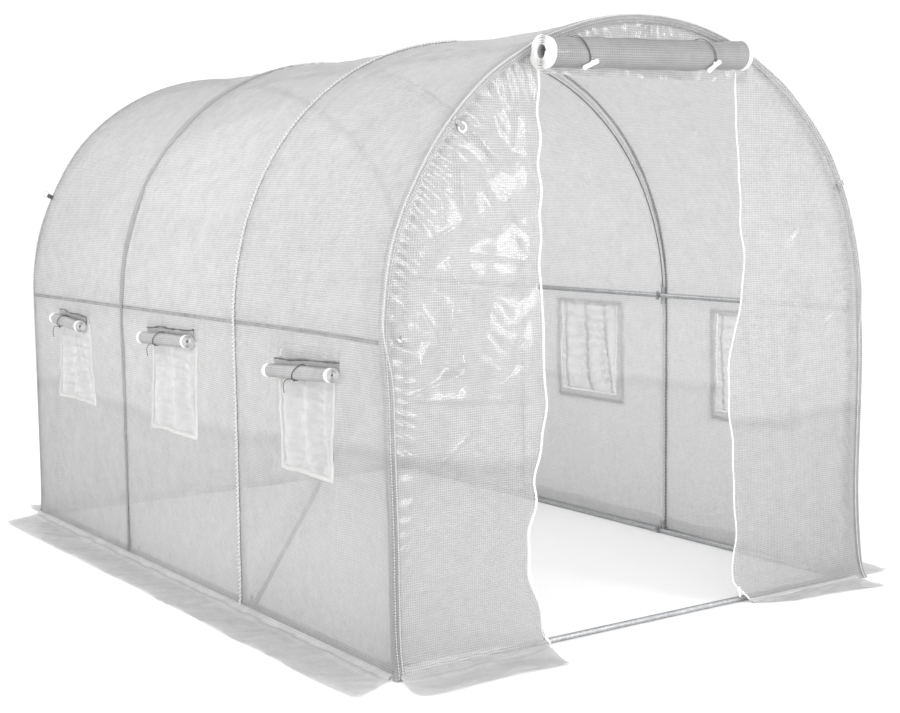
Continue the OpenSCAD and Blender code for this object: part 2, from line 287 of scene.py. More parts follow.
def circle(radius, sides=12):
    """A round profile: radius times cosine and sine of equal angles; radius may be a number per station."""
    a = np.arange(sides) * 2 * np.pi / sides
    return np.asarray(radius)[..., None, None] * np.stack([np.cos(a), np.sin(a)], -1)


def oblong(width, height, corner=0.3, sides=16):
    """A flat strap's profile: a rounded rectangle, as a super-ellipse with the given corner power."""
    a = (np.arange(sides) + 0.5) * 2 * np.pi / sides
    c, s = np.cos(a), np.sin(a)
    tall, wide = np.sign(c) * np.abs(c) ** corner, np.sign(s) * np.abs(s) ** corner
    return np.stack([height / 2 * tall, width / 2 * wide], -1)


def tube(path, radius, up, sides):
    """A round bar along a path; its radius may change along the way."""
    return sweep(path, *across(path, up), circle(radius, sides))


def strap(path, up, width, height):
    """A flat band along a path, its flat side facing up."""
    return sweep(path, *across(path, up), oblong(width, height))


def straight(path, out, side, profile):
    """A closed profile carried along a path whose directions stay the same."""
    return sweep(path, np.tile(out, (len(path), 1)), np.tile(side, (len(path), 1)), profile)


def bead(length, radius, sides=4):
    """A small stitch lying along x: a ring of points between two narrower ends."""
    stations = np.array([-0.5, 0, 0.5]) * length
    profile = circle(radius * np.array([0.5, 1.1, 0.5]), sides)
    return straight(np.outer(stations, X), Z, Y, profile)


def copies(shape, places, xs, ys, zs):
    """Copies of a shape: each is turned so that its axes lie along the given ones, and moved to its place."""
    count, size = len(places), len(shape.points)
    axes = np.stack([np.broadcast_to(a, (count, 3)) for a in (xs, ys, zs)], 1)
    points = (np.einsum("pk,nkd->npd", shape.points, axes) + places[:, None]).reshape(-1, 3)
    shift = np.arange(count) * size
    faces = [(f[None] + shift[:, None, None]).reshape(-1, f.shape[1]) for f in shape.faces]
    return Shape(points, faces, [np.tile(p, (count, 1, 1)) for p in shape.flats])


def along_path(path, pitch, first, *values):
    """Equal steps of a path's length from the first one on: the places, and the given values there."""
    run = np.append(0, np.cumsum(np.linalg.norm(np.diff(path, axis=0), axis=1)))
    at = np.arange(first, run[-1], pitch)
    return [np.stack([np.interp(at, run, v[:, k]) for k in range(3)], -1) for v in (path, *values)]


def stitches(path, normal, pitch, length, radius):
    """A row of stitches along a path: equal steps of its length, each stitch laid along the path there."""
    normal = np.broadcast_to(normal, path.shape)
    place, tangent, out = along_path(path, pitch, pitch / 2, unit(np.gradient(path, axis=0)), normal)
    tangent = unit(tangent)
    side = unit(np.cross(out, tangent))
    return copies(bead(length, radius), place, tangent, side, np.cross(tangent, side))


def piece(name, shapes, materials, replaces=(), closed=True, thickness=0.0, flat_shade=False):
    """Makes a named object from shapes, one material for each, and lets it ride on the frame. Closed shapes
    get their faces turned outwards; a thickness gives a sheet its wall on both sides of the surface."""
    shapes = shapes if isinstance(shapes, list) else [shapes]
    materials = materials if isinstance(materials, list) else [materials] * len(shapes)
    whole = joined(shapes)
    used = np.zeros(len(whole.points), bool)
    for f in whole.faces:
        used[f.ravel()] = True
    renumber = np.cumsum(used) - 1
    points = whole.points[used]
    loops = np.concatenate([renumber[f].ravel() for f in whole.faces])
    sizes = np.concatenate([np.full(len(f), f.shape[1]) for f in whole.faces])
    kinds = list(dict.fromkeys(materials))
    counts = [sum(map(len, shape.faces)) for shape in shapes]
    numbers = np.concatenate([np.full(n, kinds.index(m)) for n, m in zip(counts, materials)])
    mesh = bpy.data.meshes.new(name)
    mesh.vertices.add(len(points))
    mesh.vertices.foreach_set("co", points.astype(np.float32).ravel())
    mesh.loops.add(len(loops))
    mesh.loops.foreach_set("vertex_index", loops.astype(np.int32))
    mesh.polygons.add(len(sizes))
    mesh.polygons.foreach_set("loop_start", (np.cumsum(sizes) - sizes).astype(np.int32))
    mesh.polygons.foreach_set("material_index", numbers.astype(np.int32))
    flats = np.concatenate([f.reshape(-1, 2) for f in whole.flats])
    mesh.uv_layers.new(name="flat").data.foreach_set("uv", flats.astype(np.float32).ravel())
    for m in kinds:
        mesh.materials.append(m)
    mesh.update()
    mesh.validate()
    if closed:
        work = bmesh.new()
        work.from_mesh(mesh)
        bmesh.ops.recalc_face_normals(work, faces=work.faces)
        work.to_mesh(mesh)
        work.free()
    mesh.polygons.foreach_set("use_smooth", np.full(len(mesh.polygons), not flat_shade))
    made = bpy.data.objects.new(name, mesh)
    bpy.context.scene.collection.objects.link(made)
    if thickness:
        wall = made.modifiers.new("wall", "SOLIDIFY")
        wall.thickness = thickness
        wall.offset = 0
    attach(made, "root")
    if replaces:
        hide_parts(*replaces)
    return made


# ---------------------------------------------------------------- the cover's own surface


def section(s):
    """Cross-section of the cover at path length s: up the left wall, over the half circle, down the right
    wall. Gives the points and outward directions in x and z, with y left at nought."""
    s = np.asarray(s, float)
    turn = np.clip((s - WALL_H) / HALF_W, 0, np.pi)
    fall = np.clip(s - WALL_H - np.pi * HALF_W, 0, None)
    nothing = np.zeros_like(s)
    out = np.stack([-np.cos(turn), nothing, np.sin(turn)], -1)
    middle_z = np.clip(s, 0, WALL_H) - fall
    return HALF_W * out + middle_z[..., None] * Z, out


def swell(s, y):
    """How far the film stands outside the ideal half circle: most at the shoulders, a little at the ridge,
    none on the walls. Near the doorway end the sleeve stands off the hoop, more on the right, where it
    hangs off it down to the ground. It is drawn in at the guy rings of the rear end."""
    turn = np.clip((s - WALL_H) / HALF_W, 0, np.pi)
    lean = np.minimum(turn, np.pi - turn)
    shoulder = 0.016 * smooth(lean / 0.8) - 0.010 * smooth((lean - 0.8) / 0.77)
    height = np.minimum(s, PATH - s)
    left = eased(height, FRONT_OUT_S, FRONT_OUT_LEFT)
    right = eased(height, FRONT_OUT_S, FRONT_OUT_RIGHT)
    front = np.where(s < PATH / 2, left, right) - shoulder
    share = np.exp(-((np.clip(y + HALF_L, 0, None) / 0.24) ** 1.5))
    ring_x, _, ring_z = RINGS["guy_ring_rear_left"]
    ring_h = WALL_H + HALF_W * np.arctan2(ring_z - WALL_H, -ring_x)
    drawn = 0.6 * np.exp(-(((height - ring_h) / 0.16) ** 2)) * np.exp(-((HALF_L - y) / 0.18) ** 2)
    return (shoulder + front * share) * (1 - drawn)


def window_pull(s, y):
    """How the film round the left windows has moved: upwards and along the wall. Each window's own rise,
    width and shift pass smoothly from its bottom to its top, and die out over the wall round it."""
    up, along = np.zeros(np.broadcast(s, y).shape), np.zeros(np.broadcast(s, y).shape)
    level = np.clip((s - NET_LOW[2]) / (NET_HIGH[2] - NET_LOW[2]), -0.3, 1.2)
    fade = smooth(s / 0.4) * smooth((WALL_H + 0.12 - s) / 0.22)
    for centre, pulled in zip(BAYS, PULLED):
        low_rise, high_rise, low_wide, low_shift, high_wide, high_shift = pulled
        near = np.exp(-((np.abs(y - centre) / (1.35 * NET_HALF)) ** 6)) * fade
        wide = low_wide + (high_wide - low_wide) * level
        up = up + near * (low_rise + (high_rise - low_rise) * level)
        along = along + near * ((wide - 1) * (y - centre) + low_shift + (high_shift - low_shift) * level)
    return up, along


def foot_step(height):
    """How far the film steps out over the ground rail: an exponential that dies out just above it."""
    return 0.010 * np.exp(-height / 0.015)


def film_offset(s, y, sag, depth):
    """The film's distance from the ideal section: swell, less a parabola of sag between each two hoops, plus
    gathers that run off the hoops and crumples in the open bays."""
    bay = np.clip(np.searchsorted(HOOP_Y[1:-1], y), 0, len(HOOP_Y) - 2)
    hoops = np.array(HOOP_Y)
    t = np.clip((y - hoops[bay]) / (hoops[bay + 1] - hoops[bay]), 0, 1)
    free = 4 * t * (1 - t)
    turn = np.clip((s - WALL_H) / HALF_W, 0, np.pi)
    slack = sag * (0.25 + 0.75 * np.sin(turn) ** 1.5)
    height = np.minimum(s, PATH - s)
    calm = 0.2 + 0.8 * smooth(free * 1.6)
    crumple = creased(0.8 * s, 0.45 * y, 0.55, 11) + 0.45 * creased(s, y, 0.21, 23)
    crumple = depth * (crumple + 0.2 * waves(s, y, 0.07, 5))
    away = np.minimum(t, 1 - t) * (hoops[bay + 1] - hoops[bay])
    gather = 0.5 * depth * np.cos(2 * np.pi * s / 0.052 + 2 * waves(s, y, 0.4, 31))
    gather = gather * np.exp(-away / 0.05) * smooth(away / 0.02)
    purlin = 0.004 * np.exp(-((height - PURLIN_Z) / 0.03) ** 2)
    foot = foot_step(height)
    return swell(s, y) - slack * free + calm * crumple + gather * (height > 0.2) + purlin * free + foot


def film_point(s, y, sag, depth, lift=0.0):
    """Points on the film's outside, lifted by a small distance, and the outward directions there."""
    base, out = section(s)
    up, along = window_pull(s, y)
    base = base + (y + along)[..., None] * Y + up[..., None] * Z
    return base + (film_offset(s, y, sag, depth) + lift)[..., None] * out, out


def rim_point(s, y, inset=0.0):
    """Points on the outline of an end wall, inset from the film's outside, and the directions out of it."""
    base, out = section(s)
    reach = swell(s, np.full_like(s, np.sign(y) * HALF_L)) - inset + foot_step(np.minimum(s, PATH - s))
    return base + y * Y + reach[..., None] * out, out


# ---------------------------------------------------------------- finishes


def node(tree, kind, inputs=None, **settings):
    """One node with its settings, and its inputs by name or number, each a value or another node's socket."""
    made = tree.nodes.new(kind)
    for key, value in settings.items():
        setattr(made, key, value)
    for key, value in (inputs or {}).items():
        if isinstance(value, bpy.types.NodeSocket):
            tree.links.new(value, made.inputs[key])
        else:
            made.inputs[key].default_value = value
    return made


def sums(tree, operation, *values, clamp=False):
    """The result of a Math node on values or sockets."""
    inputs = dict(enumerate(values))
    return node(tree, "ShaderNodeMath", inputs, operation=operation, use_clamp=clamp).outputs[0]


def times(tree, a, b):
    """One value or socket times another."""
    return sums(tree, "MULTIPLY", a, b)


def scaled(tree, value, factor, start, clamp=False):
    """A value or socket times a factor, plus a start."""
    return sums(tree, "MULTIPLY_ADD", value, factor, start, clamp=clamp)


def bumps(tree, height, strength, depth):
    """A surface direction bent by a height pattern."""
    inputs = {"Strength": strength, "Distance": depth, "Height": height}
    return node(tree, "ShaderNodeBump", inputs).outputs[0]


def lit_through(tree, skin, share, tone, bump):
    """A surface that lets a share of the light through."""
    lit = node(tree, "ShaderNodeBsdfTranslucent", {0: tone, "Normal": bump}).outputs[0]
    return node(tree, "ShaderNodeMixShader", {0: share, 1: skin, 2: lit}).outputs[0]


def blend(tree, share, a, b):
    """A colour between a and b by share."""
    return node(tree, "ShaderNodeMix", {0: share, 6: a, 7: b}, data_type="RGBA").outputs[2]


def speckle(tree, coords, scale, detail=4.0, rough=0.55):
    """A cloudy pattern from 0 to 1 of the given scale."""
    inputs = {"Vector": coords, "Scale": scale, "Detail": detail, "Roughness": rough}
    return node(tree, "ShaderNodeTexNoise", inputs).outputs["Fac"]


def new_material(name):
    """An empty material with its tree, object coordinates, the two flat coordinates and the output node."""
    made = bpy.data.materials.new(name)
    made.use_nodes = True
    tree = made.node_tree
    tree.nodes.clear()
    place = node(tree, "ShaderNodeTexCoord").outputs["Object"]
    flat = node(tree, "ShaderNodeUVMap", uv_map="flat").outputs[0]
    split = node(tree, "ShaderNodeSeparateXYZ", {0: flat})
    return made, tree, place, (split.outputs[0], split.outputs[1]), node(tree, "ShaderNodeOutputMaterial")


def shade(colour, factor):
    """A colour made lighter or darker, with full alpha."""
    return tuple(min(1.0, c * factor) for c in tuple(colour)[:3]) + (1.0,)


def ribs(tree, coordinate, pitch, sharp):
    """Threads across a coordinate: half of one plus a cosine of that pitch, raised to a power to narrow
    it."""
    angle = times(tree, coordinate, 2 * np.pi / pitch)
    return sums(tree, "POWER", scaled(tree, sums(tree, "COSINE", angle), 0.5, 0.5), sharp)


def film_material(name, colour, cover, gloss, pitch, glow=0.5, purlin_shadow=0.0):
    """Woven-scrim film: threads both ways at the given pitch, more solid and whiter than the clear film
    between them, standing out more in some patches than in others; cloudy, finely mottled, dusty and glossy
    on its skin, with painted shade darkening it towards the ground and below a wavy line 0.54 to 0.76 m up.
    cover is how solid the film is, gloss its clear coat, glow the share lit through, and the last argument
    how dark the purlins' painted shadow is in a band at their height."""
    made, tree, place, (u, v), output = new_material(name)
    cloud = speckle(tree, place, 2.4)
    mottle = speckle(tree, place, 55.0, 4.0, 0.7)
    dust = speckle(tree, place, 14.0, 5.0, 0.65)
    patchy = scaled(tree, dust, 3.2, -1.0, clamp=True)
    threads = sums(tree, "MAXIMUM", ribs(tree, u, pitch, 4.0), ribs(tree, v, pitch, 4.0))
    height = node(tree, "ShaderNodeSeparateXYZ", {0: place}).outputs[2]
    # Painted shade: the film's colour darkens towards the ground.
    low_down = scaled(tree, height, -1 / 1.15, 1.0, clamp=True)
    # Painted shadow of the purlins: a band at their height, blotched by the dust pattern.
    purlin_band = sums(tree, "COMPARE", height, PURLIN_Z, 0.8 * TUBE_R)
    # Painted shade: darker below a wavy line 0.54 to 0.76 m up, darkest in a band just under the line.
    shade_line = scaled(tree, speckle(tree, place, 1.1, 1.0), 0.22, 0.54)
    painted_shade_below_line = sums(tree, "MULTIPLY", sums(tree, "SUBTRACT", shade_line, height), 30.0, clamp=True)
    above_shade_line = scaled(tree, sums(tree, "SUBTRACT", height, shade_line), 14.0, 1.0, clamp=True)
    rim = times(tree, painted_shade_below_line, above_shade_line)
    clouded = scaled(tree, cloud, 1.6, -0.3, clamp=True)
    tone = blend(tree, clouded, shade(colour, 0.94), shade(colour, 1.05))
    spots = scaled(tree, mottle, 3.6, -1.3, clamp=True)
    tone = blend(tree, times(tree, spots, 0.55), tone, shade(colour, 0.70))
    standing = times(tree, threads, scaled(tree, patchy, 0.5, 0.35))
    tone = blend(tree, standing, tone, shade(colour, 1.34))
    # Painted shade towards the ground, then below the wavy line.
    tone = blend(tree, times(tree, low_down, 0.26), tone, shade(colour, 0.58))
    tone = blend(tree, scaled(tree, rim, 0.26, times(tree, painted_shade_below_line, 0.16)), tone, shade(colour, 0.45))
    # The purlins' painted shadow, as strong as the last argument gives.
    painted_purlin_shadow = times(tree, purlin_band, scaled(tree, dust, 1.6, -0.3, clamp=True))
    tone = blend(tree, times(tree, painted_purlin_shadow, purlin_shadow), tone, shade(colour, 0.35))
    solid = scaled(tree, threads, 0.24, cover - 0.10)
    solid = sums(tree, "ADD", solid, scaled(tree, cloud, 0.16, -0.08))
    solid = scaled(tree, dust, 0.14, sums(tree, "SUBTRACT", solid, 0.07), clamp=True)
    relief = scaled(tree, mottle, 0.7, threads)
    bump = bumps(tree, relief, 0.6, 0.0008)
    body = {"Base Color": tone, "Roughness": scaled(tree, dust, 0.24, 0.24), "Normal": bump, "IOR": 1.45}
    skin_bump = bumps(tree, relief, 0.09, 0.0008)
    body.update({"Coat Weight": gloss, "Coat Roughness": 0.09, "Coat Normal": skin_bump})
    skin = node(tree, "ShaderNodeBsdfPrincipled", body).outputs[0]
    film = lit_through(tree, skin, glow, tone, bump)
    clear = node(tree, "ShaderNodeBsdfTransparent", {0: (0.97, 0.97, 0.97, 1.0)}).outputs[0]
    mixed = node(tree, "ShaderNodeMixShader", {0: solid, 1: clear, 2: film}).outputs[0]
    tree.links.new(mixed, output.inputs[0])
    return made


def woven_material(name, colour, pitch, rough=0.75, sheen=0.2, glow=0.0):
    """Webbing, tape, cord or net: ribs one way over finer ribs the other, fuzzy and a little uneven in
    colour. glow is the share of light that thin cloth lets through."""
    made, tree, place, (u, v), output = new_material(name)
    weave = scaled(tree, ribs(tree, u, pitch, 1.5), 0.6, ribs(tree, v, pitch * 1.7, 1.5))
    uneven = speckle(tree, place, 35.0)
    tone = blend(tree, uneven, shade(colour, 0.90), shade(colour, 1.06))
    tone = blend(tree, scaled(tree, weave, 0.35, 0.3, clamp=True), shade(colour, 0.78), tone)
    bump = bumps(tree, weave, 0.5, 0.0005)
    body = {"Base Color": tone, "Normal": bump, "Roughness": rough, "Sheen Weight": sheen}
    cloth = node(tree, "ShaderNodeBsdfPrincipled", body).outputs[0]
    if glow:
        cloth = lit_through(tree, cloth, glow, tone, bump)
    tree.links.new(cloth, output.inputs[0])
    return made


def plastic_material(name, colour, rough):
    """Moulded plastic: a faint cast grain, slightly mottled, duller where it is handled."""
    made, tree, place, _, output = new_material(name)
    grain = speckle(tree, place, 400.0, 3.0)
    mottle = speckle(tree, place, 60.0)
    tone = blend(tree, mottle, shade(colour, 0.9), shade(colour, 1.06))
    gloss = scaled(tree, mottle, 0.25, rough - 0.1)
    body = {"Base Color": tone, "Normal": bumps(tree, grain, 0.25, 0.0003), "Roughness": gloss}
    tree.links.new(node(tree, "ShaderNodeBsdfPrincipled", body).outputs[0], output.inputs[0])
    return made


def steel_material(name, colour, spangle=150.0, rough=0.38):
    """Galvanised steel: zinc spangles as cells of slightly different grey and gloss, a dull bloom over
    them."""
    made, tree, place, _, output = new_material(name)
    cells = node(tree, "ShaderNodeTexVoronoi", {"Vector": place, "Scale": spangle})
    cell = node(tree, "ShaderNodeSeparateColor", {0: cells.outputs["Color"]}).outputs[0]
    bloom = speckle(tree, place, 9.0, 6.0, 0.7)
    tone = blend(tree, cell, shade(colour, 0.78), shade(colour, 1.15))
    dull = sums(tree, "MULTIPLY", sums(tree, "POWER", bloom, 2.5), 1.1, clamp=True)
    tone = blend(tree, dull, tone, shade(colour, 0.62))
    gloss = scaled(tree, cell, 0.14, scaled(tree, bloom, 0.3, rough - 0.15))
    bump = bumps(tree, cell, 0.15, 0.0003)
    body = {"Base Color": tone, "Metallic": 0.85, "Roughness": gloss, "Normal": bump}
    tree.links.new(node(tree, "ShaderNodeBsdfPrincipled", body).outputs[0], output.inputs[0])
    return made


def floor_material(name, tone):
    """Pale studio floor: a matt paint with the faintest unevenness."""
    made, tree, place, _, output = new_material(name)
    grey = (tone, tone, tone)
    colour = blend(tree, speckle(tree, place, 0.6), shade(grey, 0.98), shade(grey, 1.02))
    body = {"Base Color": colour, "Roughness": 0.8}
    tree.links.new(node(tree, "ShaderNodeBsdfPrincipled", body).outputs[0], output.inputs[0])
    return made


FINISHES = {}


def finish(kind):
    """A finish by its plain name, made from the scene's settings the first time it is asked for."""
    if kind not in FINISHES:
        look, trim = bpy.context.scene.tunnel_film, bpy.context.scene.tunnel_trim
        film, roll, pitch = look.film_colour, look.roll_colour, look.scrim_pitch
        makers = {
            "cover": lambda: film_material("film_cover", film, look.film_solid, 0.12, pitch, 0.5, 1.0),
            "gable": lambda: film_material("film_gable", shade(film, 1.02), look.film_solid, 1.0, pitch),
            "double": lambda: film_material("film_doubled", shade(film, 0.98), look.film_solid, 0.3, pitch),
            # The third hoop's band: doubled film whose darker colour stands partly for the thick folded film
            # and is partly painted shade of the hoop tube behind it.
            "band": lambda: film_material("film_band_painted_shade", shade(film, 0.52), 1.0, 0.0, pitch, 0.1),
            # Sleeve film coloured far lighter than the cover as painted light, so that inside the tunnel, in
            # shade, it looks as light as the film.
            "sleeve": lambda: film_material("film_sleeve", shade(film, 1.75), 0.98, 0.1, pitch, 0.2),
            "far_flap": lambda: film_material("film_flap_closed", shade(film, 1.50), 0.62, 0.2, pitch, 0.88),
            "skirt": lambda: film_material("film_skirt", shade(film, 1.38), 0.92, 0.3, pitch, 0.3),
            "door_roll": lambda: film_material("film_rolled_door", roll, 0.95, 0.5, pitch, 0.3),
            "window_roll": lambda: film_material(
                "film_rolled_window", shade(roll, 1.25), 0.95, 0.3, pitch, 0.3
            ),
            # Very dark film for painted shadow lines: over each sleeve's arch, and along the real fold above
            # each rolled flap, whose darkness is painted.
            "shadow_line": lambda: film_material("film_painted_shadow_line", shade(roll, 0.38), 0.98, 0.2, pitch, 0.2),
            "net": lambda: woven_material("net_thread", trim.net_colour, 0.002, 0.6, 0.2, 0.40),
            "border": lambda: woven_material("net_border_tape", trim.tape_colour, 0.0016, 0.7, 0.2, 0.6),
            "tape": lambda: woven_material("edge_tape", trim.tape_colour, 0.0016, 0.7),
            "thread": lambda: woven_material("stitch_thread", trim.tape_colour, 0.0012, 0.55, 0.2, 0.3),
            "web": lambda: woven_material("strap_webbing", trim.web_colour, 0.0022),
            "cord": lambda: woven_material("tie_cord", trim.web_colour, 0.0018),
            "zip": lambda: plastic_material("zip_teeth", trim.tape_colour, 0.3),
            "ring": lambda: plastic_material("ring_plastic", shade(trim.tape_colour, 0.84), 0.32),
            "toggle": lambda: plastic_material("toggle_plastic", trim.tape_colour, 0.32),
            "head": lambda: film_material("film_head", shade(film, 1.08), 0.98, 0.3, pitch),
            "tube": lambda: steel_material("galvanised_tube_finish", trim.steel_colour),
            "clamp": lambda: steel_material("clamp_steel_finish", shade(trim.steel_colour, 0.8), 260.0, 0.45),
        }
        FINISHES[kind] = makers[kind]()
    return FINISHES[kind]


# ---------------------------------------------------------------- settings


def colour_setting(name, description, default):
    """A colour that a user can change."""
    return bpy.props.FloatVectorProperty(
        name=name, description=description, default=default, size=3, min=0.0, max=1.0, subtype="COLOR"
    )


def number_setting(name, description, default, lowest, highest, **kind):
    """A number that a user can change; kind may give its unit, subtype or precision."""
    return bpy.props.FloatProperty(
        name=name, description=description, default=default, min=lowest, max=highest, **kind
    )


def length_setting(name, description, default, lowest, highest):
    """A length in metres that a user can change."""
    return number_setting(name, description, default, lowest, highest, unit="LENGTH", precision=4)


class TunnelFilm(bpy.types.PropertyGroup):
    """Looks of the film cover."""

    film_colour: colour_setting("Film colour", "Colour of the woven-scrim film", (0.55, 0.55, 0.55))
    roll_colour: colour_setting("Rolled film colour", "Colour where many layers meet", (0.38, 0.38, 0.38))
    film_solid: number_setting(
        "Film solidity", "Share of light that the film stops", 0.82, 0.2, 1.0, subtype="FACTOR"
    )
    scrim_pitch: length_setting("Scrim pitch", "Distance between the film's threads", 0.0075, 0.002, 0.02)
    sag: length_setting("Roof sag", "How far the film hangs in between two hoops", 0.018, 0.0, 0.05)
    crumple: length_setting("Crumple depth", "Depth of the film's crumples", 0.0035, 0.0, 0.012)
    fold_depth: length_setting("Fold depth", "Depth of the folds beside the doorway", 0.011, 0.0, 0.03)


class TunnelTrim(bpy.types.PropertyGroup):
    """Looks of tapes, nets, straps, rings and steel."""

    tape_colour: colour_setting("Tape colour", "Colour of zips, tapes and stitches", (0.97, 0.97, 0.96))
    net_colour: colour_setting("Net colour", "Colour of the insect net", (0.98, 0.98, 0.98))
    web_colour: colour_setting("Webbing colour", "Colour of straps and ties", (0.12, 0.115, 0.11))
    steel_colour: colour_setting("Steel colour", "Colour of the galvanised tubes", (0.50, 0.51, 0.52))
    stitch_pitch: length_setting("Stitch pitch", "Distance between two stitches", 0.0098, 0.003, 0.03)
    tooth_pitch: length_setting("Zip tooth pitch", "Distance between two zip teeth", 0.0036, 0.002, 0.01)
    net_pitch: length_setting("Net pitch", "Distance between two threads of the net", 0.004, 0.002, 0.01)


class TunnelStudio(bpy.types.PropertyGroup):
    """Looks of the plain stage."""

    floor_tone: number_setting("Floor tone", "Lightness of the floor", 0.97, 0.0, 1.0, subtype="FACTOR")
    sky_strength: number_setting("Surrounding light", "Strength of the even white light", 1.08, 0.0, 5.0)
    glint_power: number_setting(
        "Glint lamp power", "Power of the small lamp before the doorway", 110.0, 0.0, 1000.0, unit="POWER"
    )
    lamp_power: number_setting(
        "Lamp power", "Power of the large soft lamps", 90.0, 0.0, 5000.0, unit="POWER"
    )


# ---------------------------------------------------------------- cover


def cover_sheet(look):
    """Walls and roof in one sheet: the film surface over path length and y, left open at the six windows."""
    sills = [0, NET_LOW[2], NET_HIGH[2], WALL_H]
    breaks = sills + [PATH - s for s in sills[::-1]]
    s = spaced(breaks, 0.0155)
    sides = [edge for c in BAYS for edge in (c - NET_HALF, c + NET_HALF)]
    y = spaced([-HALF_L + RIM_INSET, *sides, HALF_L - RIM_INSET], 0.0138)
    ss, yy = np.meshgrid(s, y, indexing="ij")
    points, out = film_point(ss, yy, look.sag, look.crumple)
    mid_s, mid_y = (s[1:] + s[:-1]) / 2, (y[1:] + y[:-1]) / 2
    height = np.minimum(mid_s, PATH - mid_s)
    in_z = (height > NET_LOW[2]) & (height < NET_HIGH[2])
    in_y = np.any([np.abs(mid_y - c) < NET_HALF for c in BAYS], axis=0)
    return grid(points, np.stack([ss, yy], -1), facing=out, open_at=np.outer(in_z, in_y))


def cover_band(look, y, half, lift, shift=0.0):
    """A strip of doubled film across the cover at y, its edges a little wavy, from ground to ground. half
    is its half width at each path length, shift how far it lies off the middle as a share of that."""
    s = spaced([0, PATH], 0.02)
    t = np.linspace(-1, 1, 7)
    ss, tt = np.meshgrid(s, t, indexing="ij")
    yy = y + (tt + shift) * np.broadcast_to(half(s), s.shape)[:, None] + 0.0025 * waves(ss, tt, 0.3, 41)
    points, out = film_point(ss, yy, look.sag, look.crumple, lift)
    return grid(points, np.stack([ss, yy], -1), facing=out)


def sleeve_half(s):
    """Half width of the sleeve over the third hoop: broad over the roof, pinched at the shoulders."""
    heights = (0.0, 0.90, 1.27, 1.42, 1.50, 1.56, 1.85, 2.57)
    widths = (0.010, 0.011, 0.020, 0.018, 0.009, 0.016, 0.026, 0.018)
    return eased(np.minimum(s, PATH - s), heights, widths)


def cover_line(look, y, lift):
    """A line across the cover at y, lifted off it, and the outward directions along it."""
    s = spaced([0.004, PATH - 0.004], 0.02)
    return film_point(s, np.full_like(s, y), look.sag, look.crumple, lift)


class TUNNEL_OT_cover(bpy.types.Operator):
    """Make the film cover of walls and roof with its seams over the middle hoops"""

    bl_idname = "tunnel.cover"
    bl_label = "Film cover"

    def execute(self, context):
        look, trim = context.scene.tunnel_film, context.scene.tunnel_trim
        cover = piece("cover_film", cover_sheet(look), finish("cover"),
                      ("cover_roof", "cover_wall_left", "cover_wall_right"), closed=False)
        band = cover_band(look, HOOP_Y[1], lambda s: 0.007, 0.0012)
        second = piece("cover_seam_second_hoop", band, finish("double"), closed=False)
        # Over the third hoop a band darker than the cover: partly thicker folded film, partly painted shade
        # of the hoop behind it.
        band = cover_band(look, HOOP_Y[2], sleeve_half, 0.0032, -0.65)
        third = piece("cover_shade_band_third_hoop", band, finish("band"), closed=False)
        seam, out = cover_line(look, HOOP_Y[1] - 0.006, 0.0030)
        rows = [strap(seam, out, 0.0115, 0.0012),
                stitches(seam + 0.0012 * out, out, 1.5 * trim.stitch_pitch, 0.0105, 0.0062),
                stitches(*cover_line(look, HOOP_Y[1] - 0.006, 0.0020), trim.stitch_pitch, 0.0055, 0.0009),
                stitches(*cover_line(look, HOOP_Y[2] - 0.005, 0.0024), trim.stitch_pitch, 0.0055, 0.0009)]
        thread = piece("cover_seam_stitches", rows, finish("thread"))
        self.hoop_sleeves()
        return {"FINISHED"}

    def hoop_sleeves(self):
        """Film sleeves, coloured pale as painted light, that wrap the two middle hoops, left open at the
        rails and purlins, with a bright seam down each leg and, over each arch, a thin very dark line of
        painted shadow between sleeve and film."""
        run = high("hoop_second_arch")[0] - TUBE_R
        shapes, bright, dark = [], [], []
        legs = (0.05, PURLIN_Z - PURLIN_GAP)
        gap = np.arcsin((PURLIN_Z + PURLIN_GAP - WALL_H) / run)
        a = np.linspace(gap, np.pi - gap, 90)
        arch = np.stack([-run * np.cos(a), 0 * a, WALL_H + run * np.sin(a)], -1)
        inward = -np.stack([-np.cos(a), 0 * a, np.sin(a)], -1)
        for y in HOOP_Y[1:-1]:
            for side in (-1, 1):
                z = spaced(legs, 0.02)
                leg = side * run * X + y * Y + np.outer(z, Z)
                shapes.append(tube(leg, SLEEVE_R, Y, 14))
                seam = leg - unit(side * X + 1.1 * Y) * (TUBE_R + 0.0020)
                bright.append(stitches(seam, -side * X, 0.010, 0.0086, 0.0036))
            shapes.append(tube(arch + y * Y, SLEEVE_R, Y, 14))
            # Painted shadow: a thin very dark line over each arch where the sleeve meets the film.
            dark.append(tube(arch + y * Y + unit(inward - 0.9 * Y) * SLEEVE_R, 0.0019, Y, 6))
        piece("hoop_sleeves", shapes, finish("sleeve"))
        kinds = [finish("thread")] * len(bright) + [finish("shadow_line")] * len(dark)
        piece("hoop_sleeve_seams_and_shadows", bright + dark, kinds)


# ---------------------------------------------------------------- end walls


def door_edge(z, side):
    """Distance of the loose door edge from the middle at height z, on the left (-1) or right (1)."""
    knots, reach = (EDGE_LEFT_Z, EDGE_LEFT_X) if side < 0 else (EDGE_RIGHT_Z, EDGE_RIGHT_X)
    return eased(z, knots, reach) + 0.0035 * waves(z, 0, 0.13, 7 + side)


def foot_flare(z):
    """How far an end wall's foot leans out over the ground bar: an exponential that dies out above it."""
    return 0.030 * np.exp(-z / 0.06)


def wall_reach(z, side, end):
    """How far from the middle an end wall's film reaches at height z, below the shoulder."""
    s = np.minimum(z, WALL_H)
    s = s if side < 0 else PATH - s
    return HALF_W + swell(s, np.full_like(s, end * HALF_L))


